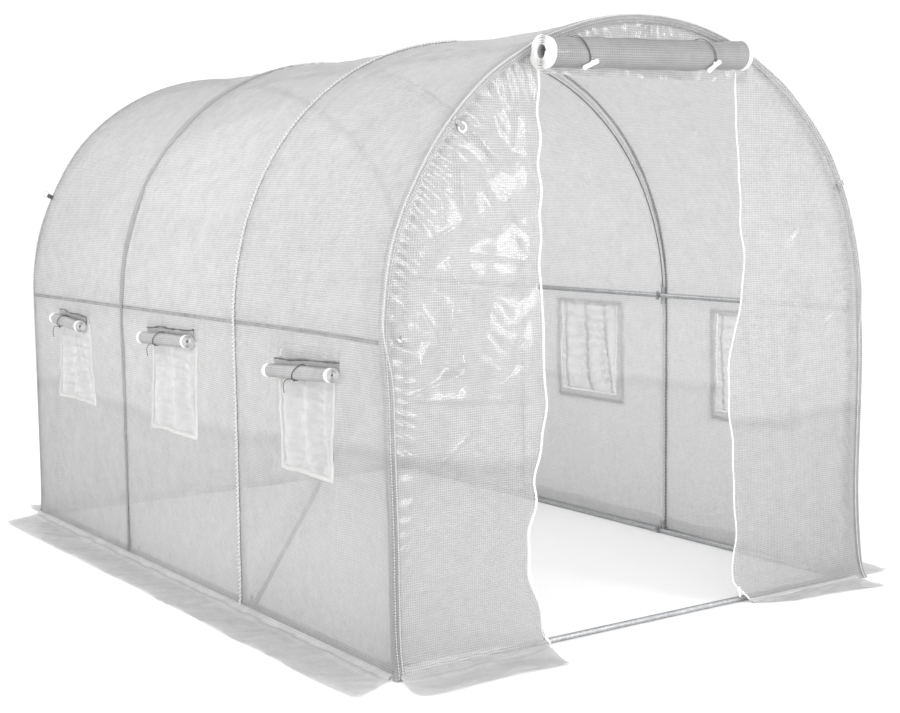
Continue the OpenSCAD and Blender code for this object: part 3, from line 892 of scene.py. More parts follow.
# Creases left of the doorway: start and end in x and z, width of the gentle flank, height against fold depth.
LEFT_CREASES = (
    (-0.765, 1.615, -0.735, 1.350, 0.070, 1.00), (-0.815, 1.350, -0.818, 1.580, 0.050, 0.80),
    (-0.735, 1.630, -0.560, 1.490, 0.035, 1.10), (-0.560, 1.490, -0.735, 1.640, 0.012, -0.50),
    (-0.590, 1.310, -0.670, 1.450, 0.030, 0.50), (-0.760, 1.262, -0.520, 1.228, 0.030, 0.75),
    (-0.740, 1.352, -0.980, 1.235, 0.040, 0.60), (-0.990, 1.186, -0.880, 1.202, 0.020, 0.60),
    (-0.700, 1.070, -0.800, 1.240, 0.050, 0.90), (-0.800, 0.940, -0.900, 1.110, 0.050, 0.80),
    (-1.020, 0.834, -0.450, 0.790, 0.035, 0.95), (-0.740, 0.905, -0.930, 0.840, 0.045, 0.80),
    (-0.940, 0.930, -0.720, 0.925, 0.020, 0.50), (-0.860, 0.600, -0.700, 0.715, 0.020, 0.55),
    (-0.520, 1.800, -0.545, 1.560, 0.040, 0.55), (-0.990, 0.245, -0.860, 0.250, 0.014, 0.60),
    (-0.480, 0.920, -0.620, 0.840, 0.030, 0.45), (-0.800, 1.000, -0.760, 1.180, 0.030, 0.50),
)
# Soft bulges between them: start and end in x and z, width, height against the fold depth.
LEFT_BULGES = (
    (-0.930, 1.480, -0.850, 1.200, 0.050, 0.7), (-0.640, 1.560, -0.560, 1.260, 0.060, 0.6),
    (-0.840, 1.180, -0.740, 0.980, 0.040, 0.6), (-0.900, 0.960, -0.760, 0.850, 0.035, 0.7),
)


def left_relief(x, z, depth):
    """Folds of the film left of the doorway: flat facets that calm down towards the ground, sharp creases
    that run from the guy ring and across the panel, and soft bulges between them."""
    upper = 0.16 + 0.84 * smooth((z - 0.72) / 0.22)
    relief = upper * depth * (0.85 * faceted(1.2 * x, 0.75 * z, 0.30, 71) + 0.34 * faceted(x, z, 0.15, 83))
    relief = relief + 0.05 * depth * faceted(x, z, 0.055, 91) * upper
    for *line, width, height in LEFT_CREASES:
        relief = relief + crease(x, z, line, width, height * depth)
    for *line, width, height in LEFT_BULGES:
        relief = relief + bulge(x, z, line, width, height * depth)
    return relief


def right_relief(x, z, depth):
    """The calmer film right of the doorway: long upright waves, a few crumples and two slack folds."""
    relief = depth * (0.24 * faceted(1.3 * x, 0.45 * z, 0.40, 101) + 0.07 * faceted(x, z, 0.13, 113) - 0.2)
    relief = relief + 0.30 * depth * np.cos(x * 2 * np.pi / 0.24 + 0.8 * np.sin(z * 2.4))
    relief = relief + crease(x, z, (0.95, 1.55, 0.60, 1.18), 0.030, 0.5 * depth)
    return relief + crease(x, z, (0.99, 1.06, 0.60, 0.78), 0.035, 0.5 * depth)


def rim_fade(x, z):
    """0 at the hoop and 1 a hand's breadth inside it, and the distance inside the half circle and the
    walls."""
    inside = np.where(z > WALL_H, HALF_W - np.hypot(x, z - WALL_H), HALF_W - np.abs(x))
    return smooth(inside / 0.11), inside


def hoop_gathers(x, z, inside, depth):
    """Short gathers square to the hoop, dying out away from it."""
    round_way = np.arctan2(z - WALL_H, -x)
    swing = np.cos(round_way * HALF_W * 2 * np.pi / 0.043 + 2.5 * waves(x, z, 0.3, 51))
    return 0.30 * depth * swing * np.exp(-np.abs(inside - 0.045) / 0.035)


def front_side_sheet(side, look):
    """A front film beside the doorway: columns from the ground to the hoop, rows shared out along each
    column. The door edge follows its own wavy line, and the relief pushes the film out along the tunnel."""
    end = WALL_H + HALF_W * np.arccos(DOOR_HALF / HALF_W)
    s = spaced([WALL_H, end], 0.0075)
    rim, _ = rim_point(s if side < 0 else PATH - s, -HALF_L, RIM_INSET)
    t = np.linspace(0, 1, 220)
    x = np.repeat(np.abs(rim[:, :1]), len(t), 1)
    z = rim[:, 2:] * t
    span = x[0, 0] - DOOR_HALF
    by_wall = smooth((x - DOOR_HALF) / span)
    x = x + by_wall * (wall_reach(z, side, -1) - wall_reach(np.array(WALL_H), side, -1))
    near = smooth(1 - (x - DOOR_HALF) / (0.75 * span))
    shift = (door_edge(z, side) - DOOR_HALF) * (1 - smooth((z - DOOR_H) / 0.06))
    x = side * (x + near * shift)
    relief = left_relief if side < 0 else right_relief
    fade, inside = rim_fade(x, z)
    edge_calm = 0.45 + 0.55 * smooth((np.abs(x) - DOOR_HALF) / 0.05)
    out = relief(x, z, look.fold_depth) * fade * edge_calm * smooth(z / 0.12)
    out = out + hoop_gathers(x, z, inside, look.fold_depth) * smooth(z / 0.3)
    points = np.stack([x, -HALF_L - foot_flare(z) - out, z], -1)
    return grid(points, np.stack([x, z], -1), facing=-Y)


def front_top_sheet(look):
    """The front film over the doorway, from its head up to the hoop."""
    start = WALL_H + HALF_W * np.arccos(DOOR_HALF / HALF_W)
    s = spaced([start, PATH - start], 0.0085)
    rim, _ = rim_point(s, -HALF_L, RIM_INSET)
    t = np.linspace(0, 1, 36)
    x = np.repeat(rim[:, :1], len(t), 1)
    z = DOOR_H - 0.004 + (rim[:, 2:] - DOOR_H + 0.004) * t
    fade, inside = rim_fade(x, z)
    out = look.fold_depth * (0.35 * creased(x, 1.5 * z, 0.16, 131) + 0.2 * waves(x, z, 0.07, 17)) * fade
    out = out + hoop_gathers(x, z, inside, look.fold_depth)
    return grid(np.stack([x, -HALF_L - out * 0.8, z], -1), np.stack([x, z], -1), facing=-Y)


def rear_sheet(look):
    """The plain rear end wall: columns from the ground up to the hoop, gently crumpled."""
    s = spaced([WALL_H, PATH - WALL_H], 0.0125)
    rim, _ = rim_point(s, HALF_L, RIM_INSET)
    t = np.linspace(0, 1, 120)
    x = np.repeat(rim[:, :1], len(t), 1)
    z = rim[:, 2:] * t
    fade, inside = rim_fade(x, z)
    crumple = 0.5 * creased(x, 0.7 * z, 0.42, 151) + 0.22 * creased(x, z, 0.16, 163)
    out = look.fold_depth * crumple * fade * smooth(z / 0.1)
    out = out + hoop_gathers(x, z, inside, look.fold_depth) * smooth(z / 0.3)
    return grid(np.stack([x, HALF_L + foot_flare(z) + out, z], -1), np.stack([x, z], -1), facing=Y)


class TUNNEL_OT_end_walls(bpy.types.Operator):
    """Make the two front films beside the doorway, the one over it and the rear end wall"""

    bl_idname = "tunnel.end_walls"
    bl_label = "End walls"

    def execute(self, context):
        look = context.scene.tunnel_film
        for side, word in ((-1, "left"), (1, "right")):
            made = piece(f"front_film_{word}", front_side_sheet(side, look), finish("gable"),
                         (f"gable_front_{word}",), closed=False)
        over = piece("front_film_over_door", front_top_sheet(look), finish("gable"),
                     ("gable_front_top",), closed=False)
        rear = piece("rear_film", rear_sheet(look), finish("cover"), ("gable_rear",),
                     closed=False)
        return {"FINISHED"}


# ---------------------------------------------------------------- hems over the end hoops


def hem_sheet(end):
    """A sleeve round an end hoop: from the roof round the corner on a quarter circle, down the end wall."""
    y0 = end * HALF_L
    s = spaced([0, PATH], 0.012)
    corner = np.linspace(0, np.pi / 2, 7)
    radius = 0.007
    down_wall = radius + np.array([0.006, 0.013, 0.020])
    drop = np.concatenate([[0.0, 0.0], radius * (1 - np.cos(corner)), down_wall])
    along = np.concatenate([[0.022, 0.014], radius * (1 - np.sin(corner)), [0.0, 0.0, 0.0]])
    base, out = rim_point(s, y0)
    flap = np.clip(drop - radius, 0, None)[None]
    pucker = 0.0011 * np.cos(2 * np.pi * s / 0.031 + 2 * waves(s, 0, 0.5, 61))[:, None] * flap / 0.02
    lean = foot_flare(np.minimum(s, PATH - s)) + 0.003 * smooth(np.minimum(s, PATH - s) / 0.2)
    points = base[:, None] - (drop[None, :, None] - 0.0014) * out[:, None]
    points = points - end * (along[None] - 0.0016 - lean[:, None] - np.abs(pucker) * 1.5)[..., None] * Y
    flats = np.stack(np.broadcast_arrays(s[:, None], (drop - along)[None]), -1)
    return grid(points, flats, facing=out[:, None] + end * Y)


def hem_line(end, inset, lift):
    """A line along the hem: lifted off the end wall and inset from its outline, by a distance that eases from
    one value to the next up the wall."""
    s = spaced([0.006, PATH - 0.006], 0.012)
    height = np.minimum(s, PATH - s)
    reach = eased(height, (0.0, 0.25, 0.88, 1.06, PATH / 2), inset)
    line, out = rim_point(s, end * (HALF_L + lift), reach)
    return line + (end * foot_flare(height))[:, None] * Y, out


class TUNNEL_OT_hems(bpy.types.Operator):
    """Make the sleeves over the end hoops with their piping and stitches"""

    bl_idname = "tunnel.hems"
    bl_label = "Hoop hems"

    def execute(self, context):
        pitch = context.scene.tunnel_trim.stitch_pitch
        for end, word in ((-1, "front"), (1, "rear")):
            piece(f"hem_{word}", hem_sheet(end), finish("double"), closed=False)
            line, _ = hem_line(end, (0.018, 0.020, 0.021, 0.002, 0.002), 0.0052)
            inner, _ = hem_line(end, (0.004, 0.004, 0.004, 0.0125, 0.0125), 0.0062)
            rows = [stitches(line, end * Y, 0.8 * pitch, 0.0072, 0.0032),
                    stitches(inner, end * Y, pitch, 0.0066, 0.0017)]
            piece(f"hem_piping_{word}", rows, finish("thread"))
        return {"FINISHED"}


# ---------------------------------------------------------------- skirts


def skirt_sheet(inner, outer, seed, round_start, wander):
    """A ground skirt: the smooth mix of an inner and an outer line, each from its start to its end. It lies
    on the ground in low crumples, rises to the wall at its inner line, and its outer edge wanders a little.
    round_start pulls the first outer corner in on a curve. A skirt beside a wall starts at that wall's
    foot."""
    inner, outer = np.array(inner), np.array(outer)
    length = np.linalg.norm(outer[1] - outer[0])
    depth = np.linalg.norm((outer - inner).mean(0))
    u = np.linspace(0, 1, int(length / 0.014))
    v = np.linspace(0, 1, int(depth / 0.009))
    uu, vv = np.meshgrid(u, v, indexing="ij")
    past = np.clip(uu * length / max(round_start, 1e-6), 0, 1)
    cut = round_start * (1 - np.sqrt(np.clip(1 - (1 - past) ** 2, 0, 1)))
    reach = vv * (1 - cut / depth) - vv**2 * wander * (1 + waves(uu * length, 0 * uu, 0.45, seed)) / depth
    plan = (1 - reach)[..., None] * (inner[0] + (inner[1] - inner[0]) * uu[..., None])
    plan = plan + reach[..., None] * (outer[0] + (outer[1] - outer[0]) * uu[..., None])
    x, y = plan[..., 0], plan[..., 1]
    if inner[0, 0] == inner[1, 0]:
        foot = 0.0 if inner[0, 0] < 0 else PATH
        x = x + np.sign(inner[0, 0]) * (1 - reach) * (swell(np.full_like(y, foot), y) + 0.006)
    else:
        y = y + np.sign(inner[0, 1]) * (1 - reach) * foot_flare(0.0)
    low_wave = 0.0035 * faceted(x, y, 0.20, seed) + 0.002 * faceted(x, y, 0.075, seed + 5) + 0.003
    along_foot = 0.004 * np.exp(-(((vv - 0.2) * depth / 0.012) ** 2))
    edge_lift = 0.003 * vv**3 * (1 + waves(uu * length, 0, 0.3, seed + 9))
    z = 0.0015 + smooth(vv / 0.15) * np.clip(low_wave + along_foot + edge_lift, 0, 0.02)
    z = z + 0.014 * (1 - smooth(vv / 0.16))
    return grid(np.stack([x, y, z], -1), np.stack([x, y], -1), facing=Z)


class TUNNEL_OT_skirts(bpy.types.Operator):
    """Make the film skirts that lie on the ground round the tunnel"""

    bl_idname = "tunnel.skirts"
    bl_label = "Ground skirts"

    def execute(self, context):
        w, l, door = HALF_W, HALF_L, DOOR_HALF
        reach, front = high("skirt_right")[0], -low("skirt_front_left")[1]
        rear = high("skirt_rear")[1]
        lines = {
            "left": (((-w, -l), (-w, l)), ((-reach, -l - 0.10), (-reach, l - 0.10)), 3, 0.0, 0.003),
            "right": (((w, -l), (w, l)), ((reach, -l - 0.015), (reach, l - 0.015)), 13, 0.0, 0.008),
            "front_left": (
                ((-w, -l), (-door, -l)), ((-w - 0.05, -front), (-door - 0.05, -front)), 23, 0.07, 0.008
            ),
            "front_right": (
                ((w, -l), (door, -l)), ((w + 0.015, -l - 0.16), (door + 0.14, -l - 0.10)), 33, 0.0, 0.006
            ),
            "rear": (((-w, l), (w, l)), ((-w, rear), (w, rear)), 43, 0.0, 0.010),
        }
        for word, (inner, outer, seed, rounded, wander) in lines.items():
            sheet = skirt_sheet(inner, outer, seed, rounded, wander)
            made = piece(f"skirt_film_{word}", sheet, finish("skirt"), (f"skirt_{word}",),
                         closed=False)
        return {"FINISHED"}


# ---------------------------------------------------------------- windows


def wall_point(side, y, z, look, lift):
    """Points on the left (-1) or right (1) wall film at height z, lifted off it."""
    s = z if side < 0 else PATH - z
    return film_point(s, y, look.sag, look.crumple, lift)[0]


def net_bunching(u, t):
    """How the net's upright threads crowd: sideways shifts towards two lines that fan out downwards."""
    pull = np.zeros(np.broadcast(u, t).shape)
    for top, foot, width in ((-0.55, -0.85, 0.16), (0.12, -0.15, 0.22), (0.85, 0.75, 0.14)):
        off = u - (top + (foot - top) * t)
        pull = pull - 0.45 * off * np.exp(-((off / width) ** 2))
    return pull


def net_ripple(u, t):
    """Ripples that run across a net from side to side."""
    return np.cos(62 * t + 5 * u**2 + 2.2 * np.sin(3 * u + 4 * t))


def net_drape(u, t):
    """How far a net hangs to the left of its wall: pleats where its threads crowd, with ripples square to
    them between, none at its edges. u runs across the window from -1 to 1, t from its top to its foot."""
    pleat = np.cos(2.6 * np.pi * (u + 0.35 * t - 0.1)) + 0.4 * np.cos(6.3 * u + 9 * t)
    edge = smooth((1 - np.abs(u)) / 0.25) * smooth((t - 0.15) / 0.15) * smooth((1 - t) / 0.15)
    return edge * (0.008 * pleat + 0.0022 * net_ripple(u, t))


def net_threads(side, centre, look, pitch):
    """The insect net of one window: threads both ways, following the draped surface; the level ones thicken
    and thin where the net ripples."""
    half, tall = NET_HALF - 0.004, NET_HIGH[2] - NET_LOW[2]
    u = np.arange(-half + pitch / 2, half, pitch) / NET_HALF
    t = np.arange(pitch, tall - 0.004, pitch) / tall
    long_u, long_t = np.linspace(u[0], u[-1], 24), np.linspace(t[0], t[-1], 29)
    shapes = []
    for uu, tt, along in ((*np.meshgrid(u, long_t, indexing="ij"), Z), (*np.meshgrid(long_u, t), Y)):
        yy = centre + NET_HALF * (uu + net_bunching(uu, tt))
        paths = wall_point(side, yy, NET_HIGH[2] - tt * tall, look, 0.0) - net_drape(uu, tt)[..., None] * X
        outs = np.broadcast_to(side * X, paths.shape)
        radius = (0.00125 if side < 0 else 0.0007) * (1 + (0.40 * net_ripple(uu, tt) if along is Y else 0.0))
        shapes.append(sweep(paths, outs, np.cross(outs, along), circle(radius, 3)))
    return shapes


def round_window(t):
    """Places from -1 to 1 on a square, t sides of the way round from its lower front corner."""
    ring = np.array([[-1, -1], [1, -1], [1, 1], [-1, 1], [-1, -1]], float)
    k = t.astype(int)
    return ring[k] + (ring[k + 1] - ring[k]) * (t - k)[:, None]


def frame_strip(side, centre, half, bottom, top, width, look, lift, wander=0.0):
    """A tape round a rectangle on the wall: a loop of points on the outer edge and one on the inner edge,
    with the same share of the way round, filled between them."""
    t = np.linspace(0, 4, 4 * 26, endpoint=False)
    corner = round_window(t)
    mid_z, tall = (bottom + top) / 2, (top - bottom) / 2
    share = np.linspace(-0.5, 0.5, 4)
    yy = centre + corner[:, :1] * (half + share * width)
    zz = mid_z + corner[:, 1:] * (tall + share * width)
    yy = yy + wander * waves(zz, yy, 0.16, 211)
    zz = zz + wander * waves(yy, zz, 0.16, 223)
    points = wall_point(side, yy, zz, look, lift) + (0.0012 * np.cos(share * np.pi))[None, :, None] * side * X
    points, yy, zz = (a.swapaxes(0, 1) for a in (points, yy, zz))
    ring_way = np.broadcast_to(np.append(t, 4)[None] * half, (len(share), len(t) + 1))
    across_way = np.broadcast_to((share * width)[:, None], ring_way.shape)
    return grid(points, np.stack([across_way, ring_way], -1), facing=side * X, wrap=True)


def frame_line(side, centre, half, bottom, top, look, lift):
    """A line round a rectangle on the wall, closed, for stitches."""
    corner = round_window(np.linspace(0, 3.999, 4 * 30))
    z = (bottom + top) / 2 + corner[:, 1] * (top - bottom) / 2
    return wall_point(side, centre + corner[:, 0] * half, z, look, lift)


def rolled_sheet(axis_point, wall, along, half, inner, outer, turns, rise, seed, stations=28, ends=(-1, 1),
                 flare=0.0):
    """A rolled-up film: an even spiral from the inner to the outer radius that ends facing the wall, then a
    strip straight up it. Each station along the roll is a little rounder or flatter than the next. ends picks
    the stretch of the roll, as shares of its half length; flare widens its spiral towards its ends."""
    angle = spaced([0, 2 * np.pi * turns], 0.22)
    shift = 2 * np.pi * (np.ceil(turns) - turns)
    radius = inner + (outer - inner) * angle / angle[-1]
    place = np.linspace(*ends, stations) * half
    aa, pp = np.meshgrid(angle + shift, place, indexing="xy")
    rr = radius * (1 + 0.035 * waves(pp, 0.03 * aa, 0.19, seed) * (radius / outer)) * (1 + flare)
    flat_out = rr * np.cos(aa)
    up_out = rr * np.sin(aa) * (1 + 0.02 * waves(pp, 0 * aa, 0.3, seed + 3))
    strip = np.linspace(0, rise, 6)[1:]
    flat_out = np.hstack([flat_out, np.broadcast_to(outer, (len(place), len(strip)))])
    up_out = np.hstack([up_out, np.broadcast_to(strip, (len(place), len(strip)))])
    pp = np.hstack([pp, np.broadcast_to(place[:, None], (len(place), len(strip)))])
    points = axis_point + flat_out[..., None] * wall + up_out[..., None] * Z + pp[..., None] * along
    run = np.cumsum(np.linalg.norm(np.diff(points[0], axis=0, prepend=points[0][:1]), axis=1))
    flats = np.stack([pp, np.broadcast_to(run, pp.shape)], -1)
    outward = np.cos(aa)[..., None] * wall + np.sin(aa)[..., None] * Z
    outward = np.concatenate([outward, np.broadcast_to(-wall, outward.shape[:1] + (len(strip), 3))], axis=1)
    return grid(points, flats, facing=outward)


# The free end of a window tie as a Bezier curve from its knot: four control points.
TIE_BOW = np.array([(0, 0, 0), (-0.008, 0.034, 0.008), (-0.012, 0.066, -0.004), (-0.006, 0.056, -0.046)])


class TUNNEL_OT_windows(bpy.types.Operator):
    """Make the insect nets, their borders, the closed flaps on the right and the rolled ones on the left"""

    bl_idname = "tunnel.windows"
    bl_label = "Windows"

    def execute(self, context):
        look, trim = context.scene.tunnel_film, context.scene.tunnel_trim
        for side, word, tape_w in ((-1, "left", 0.020), (1, "right", 0.010)):
            threads = [shape for c in BAYS for shape in net_threads(side, c, look, trim.net_pitch)]
            net = piece(f"net_{word}", threads, finish("net"), (f"window_nets_{word}",))
            half, foot, top = NET_HALF - tape_w / 2, NET_LOW[2] + tape_w / 2, NET_HIGH[2] - tape_w / 2
            tapes = [frame_strip(side, c, half, foot, top, tape_w, look, 0.0012, 0.0016) for c in BAYS]
            kind, thickness = ("border", 0.0012) if side < 0 else ("far_flap", 0.0)
            tape = piece(f"net_border_{word}", tapes, finish(kind), closed=False,
                         thickness=thickness)
            rows = [stitches(frame_line(side, c, half + o, foot - o, top + o, look, 0.0032), side * X,
                             trim.stitch_pitch * 0.8, 0.0045, 0.0008) for c in BAYS for o in (-0.006, 0.006)]
            sewn = piece(f"net_stitches_{word}", rows, finish("thread"))
        self.closed_flaps(look, trim)
        self.rolled_flaps(look)
        return {"FINISHED"}

    def closed_flaps(self, look, trim):
        """Flaps hanging closed over the right windows, with doubled edges and stitches."""
        sheets, edges, rows = [], [], []
        outline = ((FLAP_HALF, 1), (FLAP_LOW, -1), (FLAP_HIGH, 1))
        for c in BAYS:
            y = np.linspace(c - FLAP_HALF, c + FLAP_HALF, 44)
            z = np.linspace(FLAP_LOW, FLAP_HIGH, 44)
            yy, zz = np.meshgrid(y, z, indexing="ij")
            hang = (FLAP_HIGH - zz) / (FLAP_HIGH - FLAP_LOW)
            off = 0.0045 + 0.006 * hang**2 * (1 + 0.5 * waves(yy, zz, 0.2, 241))
            off = off + 0.0018 * faceted(yy, zz, 0.11, 251)
            points = wall_point(1, yy, zz, look, 0.0) + off[..., None] * X
            sheets.append(grid(points, np.stack([yy, zz], -1), facing=X))
            half, foot, top = (edge - sign * 0.012 for edge, sign in outline)
            edges.append(frame_strip(1, c, half, foot, top, 0.014, look, 0.0112))
            half, foot, top = (edge - sign * 0.02 for edge, sign in outline)
            line = frame_line(1, c, half, foot, top, look, 0.0128)
            rows.append(stitches(line, X, trim.stitch_pitch, 0.005, 0.0008))
        flap = piece("flap_films_right", sheets, finish("far_flap"), ("window_flaps_right",),
                     closed=False)
        edge = piece("flap_edges_right", edges, finish("double"), closed=False)
        sewn = piece("flap_stitches_right", rows, finish("thread"))

    def rolled_flaps(self, look):
        """Flaps rolled up over the left windows: the head that hangs on the wall, the fold above the roll,
        coloured very dark as painted shadow of the gap between roll and wall, the roll itself with white
        tapes at its ends, and the cords that tie it."""
        node_low, node_high = low("window_flaps_left"), high("window_flaps_left")
        outer = (-HALF_W - node_low[0]) / 2
        half = (node_high[1] - BAYS[-1] - (node_low[1] - BAYS[0])) / 2
        films, tapes, rings, knots, heads, folds = [], [], [], [], [], []
        for i, (c, (near_rise, far_rise, shift, share, tie)) in enumerate(zip(BAYS, ROLL_HANG)):
            middle_y = middle("window_flaps_left")[1] + c - BAYS[1] + shift
            centre_z = node_low[2] + outer + (near_rise + far_rise) / 2
            centre = np.array([-HALF_W - outer - 0.002, middle_y, centre_z])
            along = np.array([0, 1, (far_rise - near_rise) / (2 * half * share)])
            rise = outer + 0.014
            shared = (centre, X, along, half * share, 0.005, outer, 5.25, rise)
            films.append(rolled_sheet(*shared, 261 + i))
            end = 0.020 / (half * share)
            for ends in ((-1 - 0.1 * end, -1 + 0.9 * end), (1 - 0.9 * end, 1 + 0.1 * end)):
                tapes.append(rolled_sheet(*shared[:-1], 0.002, 261 + i, stations=4, ends=ends, flare=0.03))
            heads.append(self.head(look, c, middle_y, half * share, centre[2], node_high[2]))
            t = np.linspace(-1, 1, 40)
            # The fold where the flap leaves the roll, its very dark colour painted shadow of the gap between
            # roll and wall.
            fold_line = centre + np.outer(t * half * share, along) + (outer - 0.001) * X
            fold_line = fold_line + (rise + 0.002 * waves(t, 0 * t, 0.7, 271 + i))[:, None] * Z
            folds.append(tube(fold_line, 0.0026 * (1 + 0.25 * waves(t, 0 * t, 0.3, 281 + i)), Z, 8))
            a = np.linspace(0, 2 * np.pi, 41)
            ring = centre + np.outer(tie + 0.0015 * np.sin(2 * a) - 0.019 * np.sin(a), along)
            ring = ring + (outer + 0.0019) * (np.cos(a)[:, None] * X + np.sin(a)[:, None] * Z)
            rings.append(tube(ring, 0.0017, Y, 8))
            knots.append(centre + (tie + 0.015) * Y + (outer + 0.003) * (-0.40 * X - 0.92 * Z))
        tape = piece("flap_roll_tapes_left", tapes, finish("tape"), closed=False,
                     thickness=TAPE_T)
        head = piece("flap_heads_left", heads, finish("head"), closed=False)
        fold_shadow = piece("flap_fold_shadows_left", folds, finish("shadow_line"))
        roll = piece("flap_rolls_left", films, finish("window_roll"), ("window_flaps_left",),
                     closed=False, thickness=ROLLED_T)
        t = np.linspace(-0.97, 0.97, 7)
        balls = [tube(k + np.outer(0.006 * t, Y), 0.0042 * np.sqrt(1 - t**2), Z, 10) for k in knots]
        piece("flap_ties_left", rings + balls, finish("cord"), ("window_ties_left",))
        for i, k in enumerate(knots):
            t = np.linspace(0, 1, 20)[:, None]
            path = k + np.hstack([(1 - t) ** 3, 3 * t * (1 - t) ** 2, 3 * t**2 * (1 - t), t**3]) @ TIE_BOW
            end = piece(f"tie_end_left_{i + 1}", tube(path, 0.0015, X, 8), finish("cord"))

    def head(self, look, c, middle_y, half, foot, top):
        """The head of a rolled flap, lying on the wall from behind its roll up over the window's top edge."""
        near, far = c - NET_HALF - 0.006, c + NET_HALF + 0.006
        y = np.linspace(min(middle_y - half, near), max(middle_y + half, far), 30)
        z = np.linspace(foot, top, 12)
        yy, zz = np.meshgrid(y, z, indexing="ij")
        points = wall_point(-1, yy, zz, look, 0.0034 + 0.0006 * waves(yy, zz, 0.12, 291))
        return grid(points, np.stack([zz, yy], -1), facing=-X)


# ---------------------------------------------------------------- doorway


def zip_line(side, offset, lift):
    """The zip's line down the loose door edge: offset towards the film, lifted off it."""
    z = spaced([0.012, DOOR_H + 0.028], 0.012)
    x = side * (door_edge(z, side) + offset)
    return np.stack([x, -HALF_L - foot_flare(z) - lift, z], -1)


class TUNNEL_OT_doorway(bpy.types.Operator):
    """Make the zips down the doorway, the rolled-up door over it and the straps that hold the roll"""

    bl_idname = "tunnel.doorway"
    bl_label = "Doorway"

    def execute(self, context):
        trim = context.scene.tunnel_trim
        for side, word in ((-1, "left"), (1, "right")):
            tape = strap(zip_line(side, 0.0004, 0.0022), Y, 0.0034, 0.0014)
            chain = strap(zip_line(side, -0.0022, 0.0028), Y, 0.0022, 0.0030)
            rows = [stitches(zip_line(side, offset, 0.0032), -Y, trim.stitch_pitch, 0.0050, 0.0009)
                    for offset in (0.0060, 0.0145)]
            (spots,) = along_path(zip_line(side, -0.0042, 0.0030), trim.tooth_pitch, 0.004)
            tooth = straight(np.outer([-0.0009, 0.0009], Z), X, Y, oblong(0.0026, 0.0028, 0.5, 8))
            teeth = copies(tooth, spots, X, Y, Z)
            kinds = [finish(kind) for kind in ("tape", "tape", "zip", "thread", "thread")]
            piece(f"zip_{word}", [tape, chain, teeth] + rows, kinds, (f"door_zip_{word}",))
            self.slider(side, word)
        self.roll()
        return {"FINISHED"}

    def slider(self, side, word):
        """A zip slider near the foot with its pull tab: two tapering blocks and a flat tongue."""
        z = 0.055
        x = side * (door_edge(np.array(z), side) - 0.004)
        spot = np.array([x, -HALF_L - foot_flare(z) - 0.0045, z])
        t = np.linspace(-1, 1, 9)
        taper = (1 - 0.25 * t**2 + 0.12 * t)[:, None, None]
        body = straight(spot + np.outer(t * 0.008, Z), -Y, X, oblong(0.011, 0.006, 0.5)[None] * taper)
        drop = spot - 0.0048 * Y + np.stack([0.002 * t, -0.0012 * (1 - t**2), -0.013 * (t + 1) - 0.002], -1)
        waist = np.stack([1 + 0 * t, 1 - 0.25 * (1 - t**2)], -1)[:, None]
        tab = straight(drop, -Y, X, oblong(0.007, 0.0016, 0.4)[None] * waist)
        piece(f"zip_slider_{word}", [body, tab], finish("zip"))

    def roll(self):
        """The door film rolled up over the doorway, with white tapes at its edges, two straps and toggles."""
        outer = (ROLL_HIGH[2] - ROLL_LOW[2]) / 2
        axis_x, axis_y, axis_z = (ROLL_HIGH[0] + ROLL_LOW[0]) / 2, ROLL_LOW[1] + outer, ROLL_LOW[2] + outer
        half = (ROLL_HIGH[0] - ROLL_LOW[0]) / 2 - DOOR_ROLL_SHORT
        centre = np.array([axis_x - 0.018, axis_y - 0.002, axis_z + 0.011])
        lean = 0.027
        along = X + lean * Z
        rise = 0.033
        shared = (centre, Y, along, half, 0.019, outer, 6.5, rise)
        film = piece("door_film_rolled", rolled_sheet(*shared, 301, stations=56), finish("door_roll"),
                     ("door_roll",), closed=False, thickness=ROLLED_T)
        flared = ((-1.012, -0.950), np.linspace(0.14, 0.04, 6)[:, None]), ((0.965, 1.006), 0.03)
        tapes = [rolled_sheet(*shared, 301, stations=6, ends=ends, flare=flare) for ends, flare in flared]
        tape = piece("door_roll_tapes", tapes, finish("tape"), closed=False, thickness=TAPE_T)
        straps, toggles = [], []
        strap_low, strap_high = low("door_straps"), high("door_straps")
        strap_inset = 0.008
        for k, x in enumerate((strap_low[0] + strap_inset, strap_high[0] - strap_inset)):
            a = np.radians(np.linspace(62, 236, 40))
            off = x - centre[0] + 0.006 * np.sin(2 * a + k) + 0.030 * (a - 3.6) / 3
            radial = np.cos(a)[:, None] * Y + np.sin(a)[:, None] * Z
            band = centre + off[:, None] * along + (outer + 0.0022) * radial
            straps.append(strap(band, radial, 0.0045, 0.0018))
            toggles += self.toggle(band[-1] + 0.004 * Z, k)
        piece("door_roll_straps", straps, finish("web"), ("door_straps",))
        piece("door_roll_toggles", toggles, finish("toggle"))

    def toggle(self, spot, turn):
        """A moulded toggle and the loop it is pushed through: a bar that swells at both ends, lying
        slantwise, and a shorter one across its neck."""
        slant = unit(np.array([0.86 - 0.10 * turn, -0.22, 0.42 + 0.20 * turn]))
        t = np.linspace(-1, 1, 15)
        swell_ends = 0.0074 + 0.0028 * np.abs(t) ** 3
        swell_ends = swell_ends * np.sqrt(np.clip(1 - (np.abs(t) / 1.001) ** 8, 0.02, 1))
        bar = tube(spot - 0.010 * Y + np.outer(0.030 * t, slant), swell_ends, Y, 12)
        other = unit(np.array([0.96, -0.2, 0.10]))
        neck = spot - 0.012 * Y + 0.010 * slant + np.outer(0.013 * t, other) + 0.004 * Z
        cross = tube(neck, 0.62 * swell_ends, Y, 10)
        return [bar, cross]


# ---------------------------------------------------------------- guy rings


